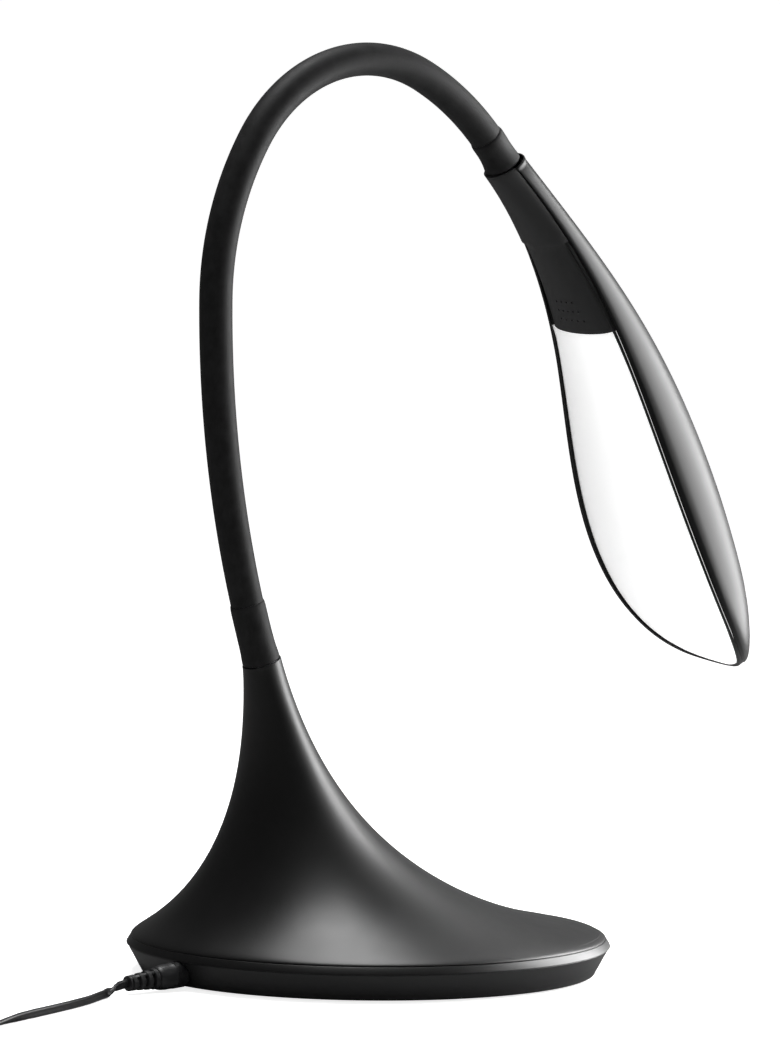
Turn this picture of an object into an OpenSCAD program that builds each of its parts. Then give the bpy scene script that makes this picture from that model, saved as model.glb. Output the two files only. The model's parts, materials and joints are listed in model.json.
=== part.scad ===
// Gooseneck desk lamp: a weighted round base whose shell sweeps up into an
// offset column, a sleeved flexible neck and a leaf-shaped LED head.
// The desk top is z = 0, +X points from the column towards the head, and the
// lamp is symmetric about the plane y = 0 apart from its cord.

/* [Base] */
// Radius of the base at its widest line
base_r = 96.8; // [85:0.1:120]
// How much smaller the underside is than the widest line
foot_in = 5.8; // [3:0.1:9]
// Height of the widest line above the desk
rim_h = 11.7; // [9.5:0.1:16]
// Height of the bevel between the widest line and the shell's top
bevel_h = 3.3; // [1:0.1:5]
// How far that bevel runs inwards
bevel_in = 1.8; // [0.8:0.1:4]
// Wall of the base shell
shell_wall = 2.2; // [1.6:0.1:3]
// Thickness of the tray's floor
tray_floor = 2.2; // [1.6:0.1:3]
// Step of the seam between shell and tray
seam_step = 0.5; // [0.2:0.1:1]
// Radius of the anti-slip pad
pad_r = 77; // [60:0.5:78]
// Thickness of the anti-slip pad
pad_t = 1.6; // [1:0.1:2.4]
// Height of the tray's edge above the desk
foot_gap = 0.8; // [0.4:0.1:1]
// Radius of the steel ballast plate
ballast_r = 70; // [50:0.5:71]
// Thickness of the steel ballast plate
ballast_t = 4; // [2:0.1:6]

/* [Column] */
// Place of the column's mouth along X
collar_x = -55.5; // [-65:0.5:-45]
// Height of the column's mouth
collar_z = 128.3; // [110:0.1:155]
// Radius of the column's mouth
collar_r = 7.9; // [7.6:0.1:9.5]
// Lean of the column's mouth towards the rear
column_lean = 19.2; // [10:0.1:25]
// Thickness of the web that the neck is bolted to
web_t = 4; // [3:0.5:6]
// Depth of the web below the column's mouth
web_depth = 46; // [44:0.5:50]

/* [Neck] */
// Bend radius of the neck's rear stretch
rear_arc_r = 440; // [300:1:600]
// Bend radius of the rising stretch
rise_arc_r = 116.5; // [90:0.5:150]
// Angle of the rising stretch
rise_arc_a = 33; // [25:1:40]
// Bend radius over the crown
crown_arc_r = 64.5; // [55:0.5:90]
// Angle over the crown
crown_arc_a = 84.8; // [70:0.1:95]
// Bend radius of the falling stretch
fall_arc_r = 116.5; // [90:0.5:150]
// Angle of the falling stretch
fall_arc_a = 27.8; // [20:0.1:40]
// Outer radius of the steel hose
hose_r = 4.9; // [4.6:0.1:5.2]
// Bore of the steel hose that the wires run in
hose_bore_r = 1.7; // [1.4:0.1:1.9]
// Outer radius of the soft sleeve
sleeve_r = 6.6; // [6.2:0.1:7]
// Wall of the soft sleeve
sleeve_wall = 1.1; // [0.6:0.1:1.1]
// Length of the sleeve's lower cuff
lower_cuff_l = 25; // [15:1:30]
// Length of the sleeve's upper cuff
upper_cuff_l = 15; // [10:1:18]
// Radius of both cuffs where they meet the sleeve
cuff_r = 7.1; // [6.9:0.05:7.4]

/* [Hose joints] */
// Radius of the ball at the end of a hose link
ball_r = 4.2; // [4:0.1:4.3]
// Running clearance between ball and socket
ball_gap = 0.15; // [0.1:0.05:0.25]
// Wall of the socket
socket_wall = 0.95; // [0.8:0.05:1]
// Radius of the narrow stem behind a ball
stem_r = 2.9; // [2.6:0.1:3]
// Length of that stem from the ball's centre
stem_l = 5; // [4.6:0.1:6]
// How far the socket reaches past the ball's centre
socket_lip = 0.8; // [0.4:0.1:1]

/* [Head] */
// Length of the head from collar to tip
head_l = 242.7; // [200:0.1:290]
// Angle of the head from the vertical
head_tilt = 31.6; // [20:0.1:45]
// Radius of the head's collar
head_collar_r = 8.7; // [8.2:0.1:10]
// Wall of the head shell
head_wall = 2; // [1.4:0.1:2.4]
// Wall of the vented cover
cover_wall = 1.6; // [1.2:0.1:2]
// Where the vented cover narrows to fit inside the light frame
cover_neck = 37.7; // [30:0.1:45]
// Where the vented cover ends and the diffuser begins
cover_end = 80; // [76:0.5:95]
// Depth of the light frame below the parting line
frame_t = 2; // [1.4:0.1:2.6]
// Opening of the light frame, as a part of the head's own width
frame_open = 0.835; // [0.78:0.005:0.86]
// Gap round the diffuser and the cover in the light frame
light_gap = 0.15; // [0.1:0.05:0.4]
// Distance of the light frame's opening from the tip
tip_land = 3.2; // [2:0.1:6]
// Radius of a vent hole
vent_r = 0.45; // [0.3:0.05:0.6]
// Rows of vent holes: place along the head, number of holes, pitch
vent_rows = [[65, 4, 3.2], [69.4, 5, 3.1], [73.8, 5, 3.6]];
// Height of the LED board above the parting line
led_lift = 3.7; // [3:0.1:6]

/* [Cord and plug] */
// Width of the flat twin lead
lead_w = 3.7; // [3:0.1:4.5]
// Thickness of the flat twin lead
lead_t = 1.9; // [1.5:0.1:2.2]
// Height of the DC jack's axis where it meets the skirt
jack_z = 6.4; // [6:0.1:7]
// Downward tilt of the plug
plug_droop = 4; // [0:0.5:6]
// Radius of the plug's grip
plug_r = 5.2; // [4.5:0.1:5.6]
// Length of the plug's grip
plug_l = 13.4; // [10:0.1:16]
// Length of the plug's strain relief
relief_l = 14; // [10:0.1:18]
// Radius of the strain relief at its end
relief_r = 3; // [2.2:0.1:3.4]
// Outer radius of the plug's barrel
barrel_r = 2.75; // [2:0.05:3]
// Length of the plug's barrel
barrel_l = 9.5; // [8:0.1:10]
// Radius of the outermost turn of the stored lead
coil_r = 30.5; // [24:0.5:36]
// Size of the wall adapter
adapter_size = [62, 42, 28]; // [25:1:80]

/* [Hidden] */
$fn = 64;
over = 0.5;          // how far a cut runs past a face

// Colours
matte_black = [0.07, 0.07, 0.075];
satin_black = [0.1, 0.1, 0.105];
rubber_black = [0.13, 0.13, 0.135];
steel = [0.62, 0.63, 0.65];
brass = [0.8, 0.66, 0.32];
board_green = [0.1, 0.4, 0.22];

// Heights inside the base
pad_seat_z = pad_t;
floor_z = pad_seat_z + tray_floor;
plate_top_z = floor_z + ballast_t;
foot_r = base_r - foot_in;
tray_top_r = base_r - seam_step;
tray_wall = 2.8;
shell_edge_r = base_r - bevel_in;
shell_edge_z = rim_h + bevel_h;

// Screws of the base
screw_r = 1.05;
thread_gap = 0.05;
boss_r = 3.4;
boss_circle = base_r - 17;
boss_angles = [45, 135, 225, 315];
tray_head_r = 2.5;
tray_head_h = 1.1;
plate_post_circle = 52;
plate_post_angles = [30, 150, 270];
plate_post_r = 3.2;

// Driver board
board_l = 46;
board_w = 32;
board_t = 1.6;
standoff_h = 5;
board_z = plate_top_z + standoff_h;
board_hole_x = board_l / 2 - 4;
board_hole_y = board_w / 2 - 4;

// ---- curves ----
function bez(p, t) = len(p) == 1 ? p[0]
    : bez([for (i = [0 : len(p) - 2]) p[i] * (1 - t) + p[i + 1] * t], t);

// Mouth of the column, in the plane y = 0 as [x, z]
mouth = [collar_x, collar_z];
mouth_across = [cos(column_lean), sin(column_lean)];
mouth_down = [sin(column_lean), -cos(column_lean)];

// Front and rear outlines of the base shell, each from the mouth to the bevel
front_curve = [
    mouth + mouth_across * collar_r,
    mouth + mouth_across * collar_r + mouth_down * 30.9,
    [shell_edge_r - 113.6, 18.2],
    [shell_edge_r - 5.1, shell_edge_z + 7.1],
    [shell_edge_r, shell_edge_z]
];
rear_curve = [
    mouth - mouth_across * collar_r,
    mouth - mouth_across * collar_r + mouth_down * 3,
    [mouth[0] + 9.7, 40.6],
    [-shell_edge_r + 2, shell_edge_z + 5.6],
    [-shell_edge_r, shell_edge_z]
];
shell_rings = 24;
shell_sides = 48;

// A round section of the shell between the two outlines, thinned by a wall
function shell_ring(t, wall) =
    let (front = bez(front_curve, t), rear = bez(rear_curve, t),
         across = (front - rear) / norm(front - rear), up = [-across[1], across[0]],
         c = (front + rear) / 2 - up * wall, r = norm(front - rear) / 2 - wall)
    [for (i = [0 : shell_sides - 1]) let (a = 360 * i / shell_sides)
        [c[0] + r * cos(a) * across[0], r * sin(a), c[1] + r * cos(a) * across[1]]];
function flat_ring(r, z) =
    [for (i = [0 : shell_sides - 1]) let (a = 360 * i / shell_sides) [r * cos(a), r * sin(a), z]];
function lifted(ring, by) = [for (p = ring) p + by];

// Solid through a list of closed rings of equally many points, wound either way
function total(list, i = 0) = i == len(list) - 1 ? list[i] : list[i] + total(list, i + 1);
function ring_normal(ring) =
    total([for (i = [0 : len(ring) - 1]) cross(ring[i], ring[(i + 1) % len(ring)])]);
function wound_forwards(rings) = ring_normal(rings[0]) * (total(rings[1]) - total(rings[0])) > 0;
function backwards(ring) = [for (i = [len(ring) - 1 : -1 : 0]) ring[i]];
module loft(rings) {
    forwards = wound_forwards(rings);
    n = len(rings[0]);
    m = len(rings);
    polyhedron(
        points = [for (ring = rings) each forwards ? ring : backwards(ring)],
        faces = concat(
            [[for (i = [0 : n - 1]) i]],
            [for (k = [0 : m - 2], i = [0 : n - 1]) let (j = (i + 1) % n)
                each [[k * n + j, k * n + i, (k + 1) * n + i],
                      [k * n + j, (k + 1) * n + i, (k + 1) * n + j]]],
            [[for (i = [n - 1 : -1 : 0]) (m - 1) * n + i]]),
        convexity = 8);
}

// ---- neck path: a list of arcs in the plane y = 0, then straight on ----
arcs = [[rear_arc_r, column_lean], [rise_arc_r, rise_arc_a],
        [crown_arc_r, crown_arc_a], [fall_arc_r, fall_arc_a]];
function arc_len(k) = arcs[k][0] * arcs[k][1] * PI / 180;
function arc_start(k) = k == 0 ? 0 : arc_start(k - 1) + arc_len(k - 1);
function arc_heading(k) = k == 0 ? 90 + column_lean : arc_heading(k - 1) - arcs[k - 1][1];
function beside(heading) = [cos(heading + 90), sin(heading + 90)];
function arc_centre(k) = k == 0
    ? mouth - arcs[0][0] * beside(arc_heading(0))
    : arc_centre(k - 1) + (arcs[k - 1][0] - arcs[k][0]) * beside(arc_heading(k));
neck_l = arc_start(4);
function arc_at(s) = s < arc_start(1) ? 0 : s < arc_start(2) ? 1 : s < arc_start(3) ? 2 : 3;
function turned(k, s) = (s - arc_start(k)) / arcs[k][0] * 180 / PI;
// Heading in degrees and place at a distance s along the neck
function heading(s) = s <= 0 ? 90 + column_lean
    : s >= neck_l ? arc_heading(4)
    : let (k = arc_at(s)) arc_heading(k) - turned(k, s);
function neck_at(s) = s <= 0 ? mouth - mouth_down * s
    : s > neck_l ? neck_at(neck_l) + (s - neck_l) * [cos(arc_heading(4)), sin(arc_heading(4))]
    : let (k = arc_at(s)) arc_centre(k) + arcs[k][0] * beside(heading(s));

// Children stand on the neck's axis at s, with local Z along the neck
module along_neck(s) {
    p = neck_at(s);
    translate([p[0], 0, p[1]]) rotate([0, 90 - heading(s), 0]) children();
}

// Round bar along the neck from s0 to s1, a little wider where two of its arcs meet
module neck_bar(s0, s1, r) {
    for (k = [arc_at(s0) : arc_at(s1)]) {
        arc_tube(k, max(s0, arc_start(k)), min(s1, arc_start(k + 1)), r);
        if (arc_start(k) > s0) along_neck(arc_start(k) - 1) cylinder(h = 2, r = r + arc_step);
    }
}
arc_step = 0.1;      // how much wider
// Bar or tube along one arc of the neck
module arc_tube(k, from, to, r, bore = 0) {
    c = arc_centre(k);
    translate([c[0], 0, c[1]]) rotate([90, 0, 0])
        rotate([0, 0, arc_heading(k) + 90 - turned(k, to)])
            rotate_extrude(angle = turned(k, to) - turned(k, from), $fn = 180)
                translate([arcs[k][0], 0]) difference() {
                    circle(r = r, $fn = 48);
                    if (bore > 0) circle(r = bore, $fn = 48);
                }
}

// Ends of the six stretches of soft sleeve, each within one arc of the neck
sleeve_s = [lower_cuff_l, (lower_cuff_l + arc_start(1)) / 2, arc_start(1), arc_start(2),
            (arc_start(2) + arc_start(3)) / 2, arc_start(3), neck_l - upper_cuff_l];
// Places of the six hose joints, one in the middle of each stretch of sleeve
hinge_s = [for (k = [0 : 5]) (sleeve_s[k] + sleeve_s[k + 1]) / 2];
sleeve_bore = sleeve_r - sleeve_wall;
socket_r = ball_r + ball_gap + socket_wall;
// Threaded pipe that carries the hose in the column, its flange on the column's mouth
pipe_r = hose_r + 0.1;
pipe_l = web_depth + web_t + 11;
pipe_gap = 0.1;
flange_r = collar_r - 1;
flange_t = 1;
spigot_r = 3.9;
spigot_l = 9;
end_bore_r = hose_bore_r + 0.1;
tip_stub_r = 3.1;
tip_stub_l = 17;

// ---- base ----
module shell_solid() {
    loft(concat(
        [for (i = [0 : shell_rings]) shell_ring(i / shell_rings, 0)],
        [flat_ring(base_r, rim_h)]));
}
module shell_hollow() {
    top = shell_ring(0, shell_wall);
    way_out = [-mouth_down[0], 0, -mouth_down[1]] * (shell_wall + over);
    loft(concat(
        [lifted(top, way_out)],
        [for (i = [0 : shell_rings]) shell_ring(i / shell_rings, shell_wall)],
        [flat_ring(shell_edge_r - shell_wall, rim_h - over)]));
}
module base_shell() {
    $fn = 24;
    color(satin_black) difference() {
        union() {
            difference() {
                shell_solid();
                shell_hollow();
            }
            intersection() {
                shell_solid();
                union() {
                    along_neck(-web_depth - web_t) cylinder(h = web_t, r = 3 * collar_r);
                    at_bosses() cylinder(h = collar_z / 2, r = boss_r);
                }
            }
        }
        along_neck(-web_depth - web_t - over)
            cylinder(h = web_depth + web_t + 2 * over, r = pipe_r + pipe_gap);
        at_bosses() translate([0, 0, -over]) cylinder(h = 8 + over, r = screw_r + thread_gap);
    }
}
module at_bosses() {
    for (a = boss_angles) rotate([0, 0, a]) translate([boss_circle, 0, floor_z]) children();
}

module base_tray() {
    color(matte_black) difference() {
        union() {
            rotate_extrude($fn = 128) polygon([
                [0, pad_seat_z], [pad_r + 0.3, pad_seat_z], [pad_r + 0.3, foot_gap],
                [foot_r - 0.8, foot_gap], [foot_r, foot_gap + 0.9],
                [tray_top_r, rim_h - 0.4], [tray_top_r - 0.4, rim_h],
                [tray_top_r - tray_wall, rim_h], [foot_r - tray_wall, floor_z], [0, floor_z]]);
            at_plate_posts() cylinder(h = ballast_t, r = plate_post_r);
        }
        at_bosses() translate([0, 0, -tray_floor - over])
            cylinder(h = tray_floor + 2 * over, r = screw_r + 0.25);
        at_bosses() translate([0, 0, -tray_floor - 2])
            cylinder(h = tray_head_h + 2.1, r = tray_head_r + 0.2);
        at_plate_posts() translate([0, 0, -1]) cylinder(h = ballast_t + 2, r = screw_r + thread_gap);
        jack_place() {
            translate([0, 0, 0.1]) cylinder(h = plug_l, r = plug_r + 0.2);
            translate([0, 0, -6]) cylinder(h = 12, r = jack_nose_r + 0.1);
            translate([-jack_h / 2 - 0.15, -jack_w / 2 - 0.15, -jack_l - 0.15])
                cube([jack_h + 8, jack_w + 0.3, jack_l - jack_nose_l + 0.3]);
        }
    }
}
module at_plate_posts() {
    for (a = plate_post_angles) rotate([0, 0, a]) translate([plate_post_circle, 0, floor_z]) children();
}

module antislip_pad() {
    color(rubber_black) cylinder(h = pad_t, r = pad_r, $fn = 128);
}

module ballast_plate() {
    color(steel) translate([0, 0, floor_z]) difference() {
        cylinder(h = ballast_t, r = ballast_r, $fn = 128);
        translate([0, 0, -over]) cylinder(h = ballast_t + 2 * over, r = 8);
        for (a = plate_post_angles) rotate([0, 0, a]) translate([plate_post_circle, 0, -over])
            cylinder(h = ballast_t + 2 * over, r = plate_post_r + 0.3);
    }
}
module ballast_screws() {
    color(steel) at_plate_posts() {
        translate([0, 0, -0.8]) cylinder(h = ballast_t + 1.8, r = screw_r);
        translate([0, 0, ballast_t]) screw_head(plate_post_r + 1.6, 1.8);
    }
}
module tray_screws() {
    color(steel) at_bosses() {
        translate([0, 0, -tray_floor]) mirror([0, 0, 1]) translate([0, 0, -tray_head_h - 0.1])
            screw_head(tray_head_r, tray_head_h);
        translate([0, 0, -tray_floor + tray_head_h]) cylinder(h = 8.4, r = screw_r);
    }
}
// Pan head with a cross recess
module screw_head(r, h) {
    difference() {
        cylinder(h = h, r1 = r, r2 = r * 0.8, $fn = 32);
        translate([-r * 0.55, -r * 0.1, h * 0.45]) cube([r * 1.1, r * 0.2, h]);
        translate([-r * 0.1, -r * 0.55, h * 0.45]) cube([r * 0.2, r * 1.1, h]);
    }
}

// DC jack in the rear of the skirt; local Z points out of it
jack_w = 9;
jack_h = 8.4;
jack_l = 14;
jack_nose_l = 3.2;
jack_nose_r = 4.1;
jack_bore_r = barrel_r + 0.1;
jack_x = -(foot_r + (tray_top_r - foot_r) * (jack_z - foot_gap) / (rim_h - foot_gap));
module jack_place() {
    translate([jack_x, 0, jack_z]) rotate([0, -90 - plug_droop, 0]) children();
}
module dc_jack() {
    color(matte_black) jack_place() {
        difference() {
            union() {
                translate([-jack_h / 2, -jack_w / 2, -jack_l])
                    cube([jack_h, jack_w, jack_l - jack_nose_l]);
                translate([0, 0, -jack_nose_l - over])
                    cylinder(h = jack_nose_l + over - 0.3, r = jack_nose_r);
            }
            translate([0, 0, -barrel_l - 0.6]) cylinder(h = barrel_l + 1, r = jack_bore_r);
        }
        translate([0, 0, -barrel_l - 0.7]) cylinder(h = barrel_l - 1, r = 1);
    }
}

// Tube with an elliptic section swept along a list of points
module sweep(path, side_r, up_r, up, sides = 8) {
    last = len(path) - 1;
    loft([for (k = [0 : last])
        let (d = path[min(k + 1, last)] - path[max(k - 1, 0)],
             side = cross(d, up) / norm(cross(d, up)), v = cross(side, d) / norm(cross(side, d)))
        [for (i = [0 : sides - 1]) let (a = 360 * i / sides)
            path[k] + side * side_r * cos(a) + v * up_r * sin(a)]]);
}
// Smooth path through hand-placed points, n steps between two of them
function spline(p, n) = concat(
    [for (k = [0 : len(p) - 2], i = [0 : n - 1])
        let (t = i / n, a = p[max(k - 1, 0)], b = p[k], c = p[k + 1], d = p[min(k + 2, len(p) - 1)])
        0.5 * (2 * b + (c - a) * t + (2 * a - 5 * b + 4 * c - d) * t * t
               + (3 * b - a - 3 * c + d) * t * t * t)],
    [p[len(p) - 1]]);

wire_r = 0.6;
wire_y = 0.75;       // how far each of two wires lies from the neck's axis
module jack_wires() {
    wire_start = jack_x + jack_l + 0.4;
    for (side = [-1, 1])
        color(side > 0 ? [0.75, 0.1, 0.1] : matte_black)
            sweep(spline([[wire_start, side * 2, jack_z + 1.5], [wire_start + 6, side * 2, jack_z + 3],
                          [-58, side * 3, plate_top_z + 3.5], [-40, side * 4, board_z + 4],
                          [-board_l / 2 + 0.2, side * 2 - 5, board_z + board_t + 3.3]], 4),
                  wire_r, wire_r, [0, 0, 1]);
}

module driver_board() {
    color(board_green) translate([0, 0, board_z]) difference() {
        translate([-board_l / 2, -board_w / 2, 0]) cube([board_l, board_w, board_t]);
        for (x = [-1, 1], y = [-1, 1]) translate([x * board_hole_x, y * board_hole_y, -over])
            cylinder(h = board_t + 2 * over, r = screw_r + 0.25);
    }
}
module board_parts() {
    translate([0, 0, board_z + board_t]) {
        color([0.15, 0.2, 0.45]) translate([12, 5, 0]) cylinder(h = 10, r = 4);
        color(matte_black) translate([-5, 8, 0]) cylinder(h = 6, r = 5);
        color(matte_black) translate([-4, -8, 0]) cube([8, 5, 1.6]);
        color([0.9, 0.9, 0.85]) translate([-board_l / 2 + 1, -9, 0]) cube([6, 8, 5]);
        color([0.9, 0.9, 0.85]) translate([-board_l / 2 + 1, 2, 0]) cube([6, 6, 5]);
        color(matte_black) translate([14, -10, 0]) cube([4, 5, 1.2]);
    }
}
module board_standoffs() {
    color(brass) for (x = [-1, 1], y = [-1, 1])
        translate([x * board_hole_x, y * board_hole_y, plate_top_z]) difference() {
            cylinder(h = standoff_h, r = 2.5, $fn = 6);
            translate([0, 0, 0.6]) cylinder(h = standoff_h, r = screw_r + thread_gap);
        }
}
module board_screws() {
    color(steel) for (x = [-1, 1], y = [-1, 1])
        translate([x * board_hole_x, y * board_hole_y, board_z + board_t]) {
            screw_head(2, 1.3);
            translate([0, 0, -board_t - 3.6]) cylinder(h = board_t + 4, r = screw_r);
        }
}

// Touch electrode under the front of the shell
touch_r = 7;
touch_h = 0.4;
touch_sink = 0.9;
touch_t = 0.68;      // its place along the shell's outlines
function shell_inside(t) =
    let (front = bez(front_curve, t), rear = bez(rear_curve, t),
         across = (front - rear) / norm(front - rear))
    front - shell_wall * across - shell_wall * [-across[1], across[0]];
module touch_pad() {
    p = shell_inside(touch_t);
    d = shell_inside(touch_t + 0.01) - shell_inside(touch_t - 0.01);
    color(brass) translate([p[0], 0, p[1]]) rotate([0, atan2(-d[1], d[0]), 0])
        translate([0, 0, -touch_sink]) cylinder(h = touch_h, r = touch_r);
}

// Nut and washer that clamp the neck under the column's web
module hose_nut() {
    color(steel) along_neck(-web_depth - web_t - 7.1) difference() {
        cylinder(h = 6, r = 7.6, $fn = 6);
        translate([0, 0, -over]) cylinder(h = 6 + 2 * over, r = pipe_r + thread_gap);
    }
}
module hose_washer() {
    color(steel) along_neck(-web_depth - web_t - 1) difference() {
        cylinder(h = 1, r = 7.4);
        translate([0, 0, -over]) cylinder(h = 1 + 2 * over, r = pipe_r + pipe_gap);
    }
}
module base_wires() {
    top_end = neck_at(-0.3);
    way_out = neck_at(-pipe_l - 2);
    for (side = [-1, 1])
        color(side > 0 ? [0.75, 0.1, 0.1] : matte_black)
            sweep(concat([[top_end[0], side * wire_y, top_end[1]]],
                         spline([[way_out[0], side * wire_y, way_out[1]],
                                 [way_out[0] + 3, side * 1, way_out[1] - 12],
                                 [-29, side * 2, 42], [-25, side * 2 + 3, 29],
                                 [-board_l / 2 + 2, side * 1.5 + 5, board_z + board_t + 5.7]], 4)),
                  wire_r, wire_r, [0, 1, 0]);
    p = shell_inside(touch_t);
    color(matte_black) sweep(spline([[p[0] - 4, 0, p[1] - 1.7], [p[0] - 14, -2, p[1] - 3.5],
                                     [26, -6, board_z + 4], [16, -7.5, board_z + board_t + 1.9]], 4),
                             wire_r / 2, wire_r / 2, [0, 0, 1]);
}

// ---- neck ----
// Socket that opens downwards onto the ball at s
module socket(s) {
    along_neck(s) intersection() {
        sphere(r = socket_r);
        translate([0, 0, -socket_lip]) cylinder(h = 2 * socket_r, r = 2 * socket_r);
    }
}
module socket_void(s) {
    along_neck(s) sphere(r = ball_r + ball_gap);
}
module ball(s) {
    along_neck(s) {
        sphere(r = ball_r);
        translate([0, 0, -stem_l - over]) cylinder(h = stem_l + over, r = stem_r);
    }
}
// One rigid length of hose: socket over the joint below, ball for the joint above
module hose_link(k) {
    color(steel) difference() {
        union() {
            socket(hinge_s[k - 1]);
            neck_bar(hinge_s[k - 1] + socket_r / 2, hinge_s[k] - stem_l, hose_r);
            ball(hinge_s[k]);
        }
        socket_void(hinge_s[k - 1]);
        neck_bar(hinge_s[k - 1] + over, hinge_s[k] + ball_r + over, hose_bore_r);
    }
}
module hose_foot() {
    color(steel) difference() {
        union() {
            along_neck(-spigot_l) cylinder(h = spigot_l + 1, r = spigot_r);
            neck_bar(0, hinge_s[0] - stem_l, hose_r);
            ball(hinge_s[0]);
        }
        along_neck(-spigot_l - over) cylinder(h = spigot_l + 2 * over, r = end_bore_r);
        neck_bar(0, hinge_s[0] + ball_r + over, hose_bore_r);
    }
}
module hose_tip() {
    color(steel) difference() {
        union() {
            socket(hinge_s[5]);
            neck_bar(hinge_s[5] + socket_r / 2, neck_l, hose_r);
            along_neck(neck_l - 1) cylinder(h = tip_stub_l + 1, r = tip_stub_r);
        }
        socket_void(hinge_s[5]);
        neck_bar(hinge_s[5] + over, neck_l, hose_bore_r);
        along_neck(neck_l - over) cylinder(h = tip_stub_l + 2 * over, r = end_bore_r);
    }
}
module threaded_pipe() {
    color(steel) along_neck(-pipe_l) difference() {
        union() {
            cylinder(h = pipe_l + flange_t, r = pipe_r);
            translate([0, 0, pipe_l]) cylinder(h = flange_t, r = flange_r);
        }
        translate([0, 0, -over]) cylinder(h = pipe_l, r = end_bore_r);
        translate([0, 0, pipe_l - spigot_l - 0.1]) cylinder(h = spigot_l + 0.2, r = spigot_r + thread_gap);
        translate([0, 0, pipe_l]) cylinder(h = flange_t + over, r = hose_r + thread_gap);
    }
}
// One stretch of the soft sleeve
module sleeve(k) {
    color(rubber_black)
        arc_tube(arc_at(hinge_s[k - 1]), sleeve_s[k - 1], sleeve_s[k], sleeve_r, sleeve_bore);
}
cuff_bore = hose_r + 0.3;
cuff_seam = 0.2;     // open seam between a cuff and the shell next to it
lower_flare_l = 6;
upper_flare_l = 4.6;
module neck_cuff_lower() {
    color(rubber_black) {
        arc_tube(0, lower_flare_l - 1, lower_cuff_l, cuff_r, cuff_bore);
        along_neck(cuff_seam) difference() {
            flare(lower_flare_l - cuff_seam, collar_r - 0.3, cuff_r + 0.1);
            translate([0, 0, -over]) cylinder(h = flange_t + over, r = flange_r + 0.1);
        }
    }
}
module neck_cuff_upper() {
    color(rubber_black) {
        arc_tube(3, neck_l - upper_cuff_l, neck_l - upper_flare_l + 0.6, cuff_r - 0.2, cuff_bore);
        along_neck(neck_l) translate([0, 0, -upper_flare_l])
            flare(upper_flare_l - cuff_seam, cuff_r, head_collar_r - 1);
    }
}
// Tapered end of a cuff, its bore a little wider than the cuff's own
module flare(l, low_r, high_r) {
    difference() {
        cylinder(h = l, r1 = low_r, r2 = high_r);
        translate([0, 0, -over]) cylinder(h = l + 2 * over, r = cuff_bore + 2 * arc_step);
    }
}
// Red and black wire along one arc of the neck
module neck_wires(k) {
    for (side = [-1, 1])
        color(side > 0 ? [0.75, 0.1, 0.1] : matte_black) translate([0, side * wire_y, 0])
            arc_tube(k - 1, arc_start(k - 1) + 0.2, arc_start(k) - 0.2, wire_r - 0.1);
}

// ---- head ----
// Local frame of the head: Z runs from the collar to the tip, X towards its back
module head_place() {
    p = neck_at(neck_l);
    translate([p[0], 0, p[1]]) rotate([0, 180 - head_tilt, 0]) rotate([0, 0, 180]) children();
}
// Each row: distance along the head, half width, parting line, back ridge
head_curve = [
    [0, head_collar_r, 0, head_collar_r + 0.3],
    [head_l * 0.42, 27.4, 16.5, 26.7],
    [head_l * 0.48, 19.2, -10.6, 40.6],
    [head_l * 0.9, 78.5, -42.5, 1.8],
    [head_l, 11.5, -4.5, 2.2],
    [head_l, 0, 0, 0]
];
// Underside of the cover below the parting line's chord
cover_curve = [-head_collar_r, -1.8, -1.5, -2.6];
function head_t(u, low = 0, high = 1, n = 22) = n == 0 ? (low + high) / 2
    : let (mid = (low + high) / 2)
      bez(head_curve, mid)[0] < u ? head_t(u, mid, high, n - 1) : head_t(u, low, mid, n - 1);
function head_at(u) = bez(head_curve, head_t(u));
function stations(u0, u1, n) =
    let (t0 = head_t(u0), t1 = head_t(u1)) [for (i = [0 : n]) bez(head_curve, t0 + (t1 - t0) * i / n)];
function cover_low(u) = bez(cover_curve, min(1, u / cover_end));

arch_steps = 16;
// Arched section: half width w, chord at x0, crown at x1, with straight sides down to x_foot
function arch(u, w, x0, x1, x_foot) = concat(
    [for (i = [0 : arch_steps]) let (a = 180 * i / arch_steps) [x0 + (x1 - x0) * sin(a), w * cos(a), u]],
    [[x_foot, -w, u], [x_foot, w, u]]);
function strip(u, w, x0, x1) = [[x1, w, u], [x1, -w, u], [x0, -w, u], [x0, w, u]];
function hip_strip(u, w_low, w_high, x_low, x_high) =
    [[x_high, w_high, u], [x_high, -w_high, u], [x_low, -w_low, u], [x_low, w_low, u]];

head_start = 0.4;
seam = 0.15;         // open seam between the head's casings
tip_start = head_l - 0.25;
module head_solid() {
    loft([for (s = stations(head_start, tip_start, 44)) arch(s[0], s[1], s[2] + 0.02, s[3], s[2])]);
}
light_end = head_l - tip_land;
flange_end = head_l - 18;
board_start = cover_end + 15;
board_end = head_l - 30.7;
screw_u = [board_start + 9, (board_start + board_end - 7) / 2, board_end - 16];
spreader_t = 1.5;
led_board_t = 1;
pad_gap = 0.1;       // thermal paste between the LED board and its spreader
function spreader_top(u) = head_at(u)[2] + led_lift + led_board_t + pad_gap + spreader_t;
function light_slope(u) = atan2(head_at(u + 1)[2] - head_at(u - 1)[2], 2);

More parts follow.
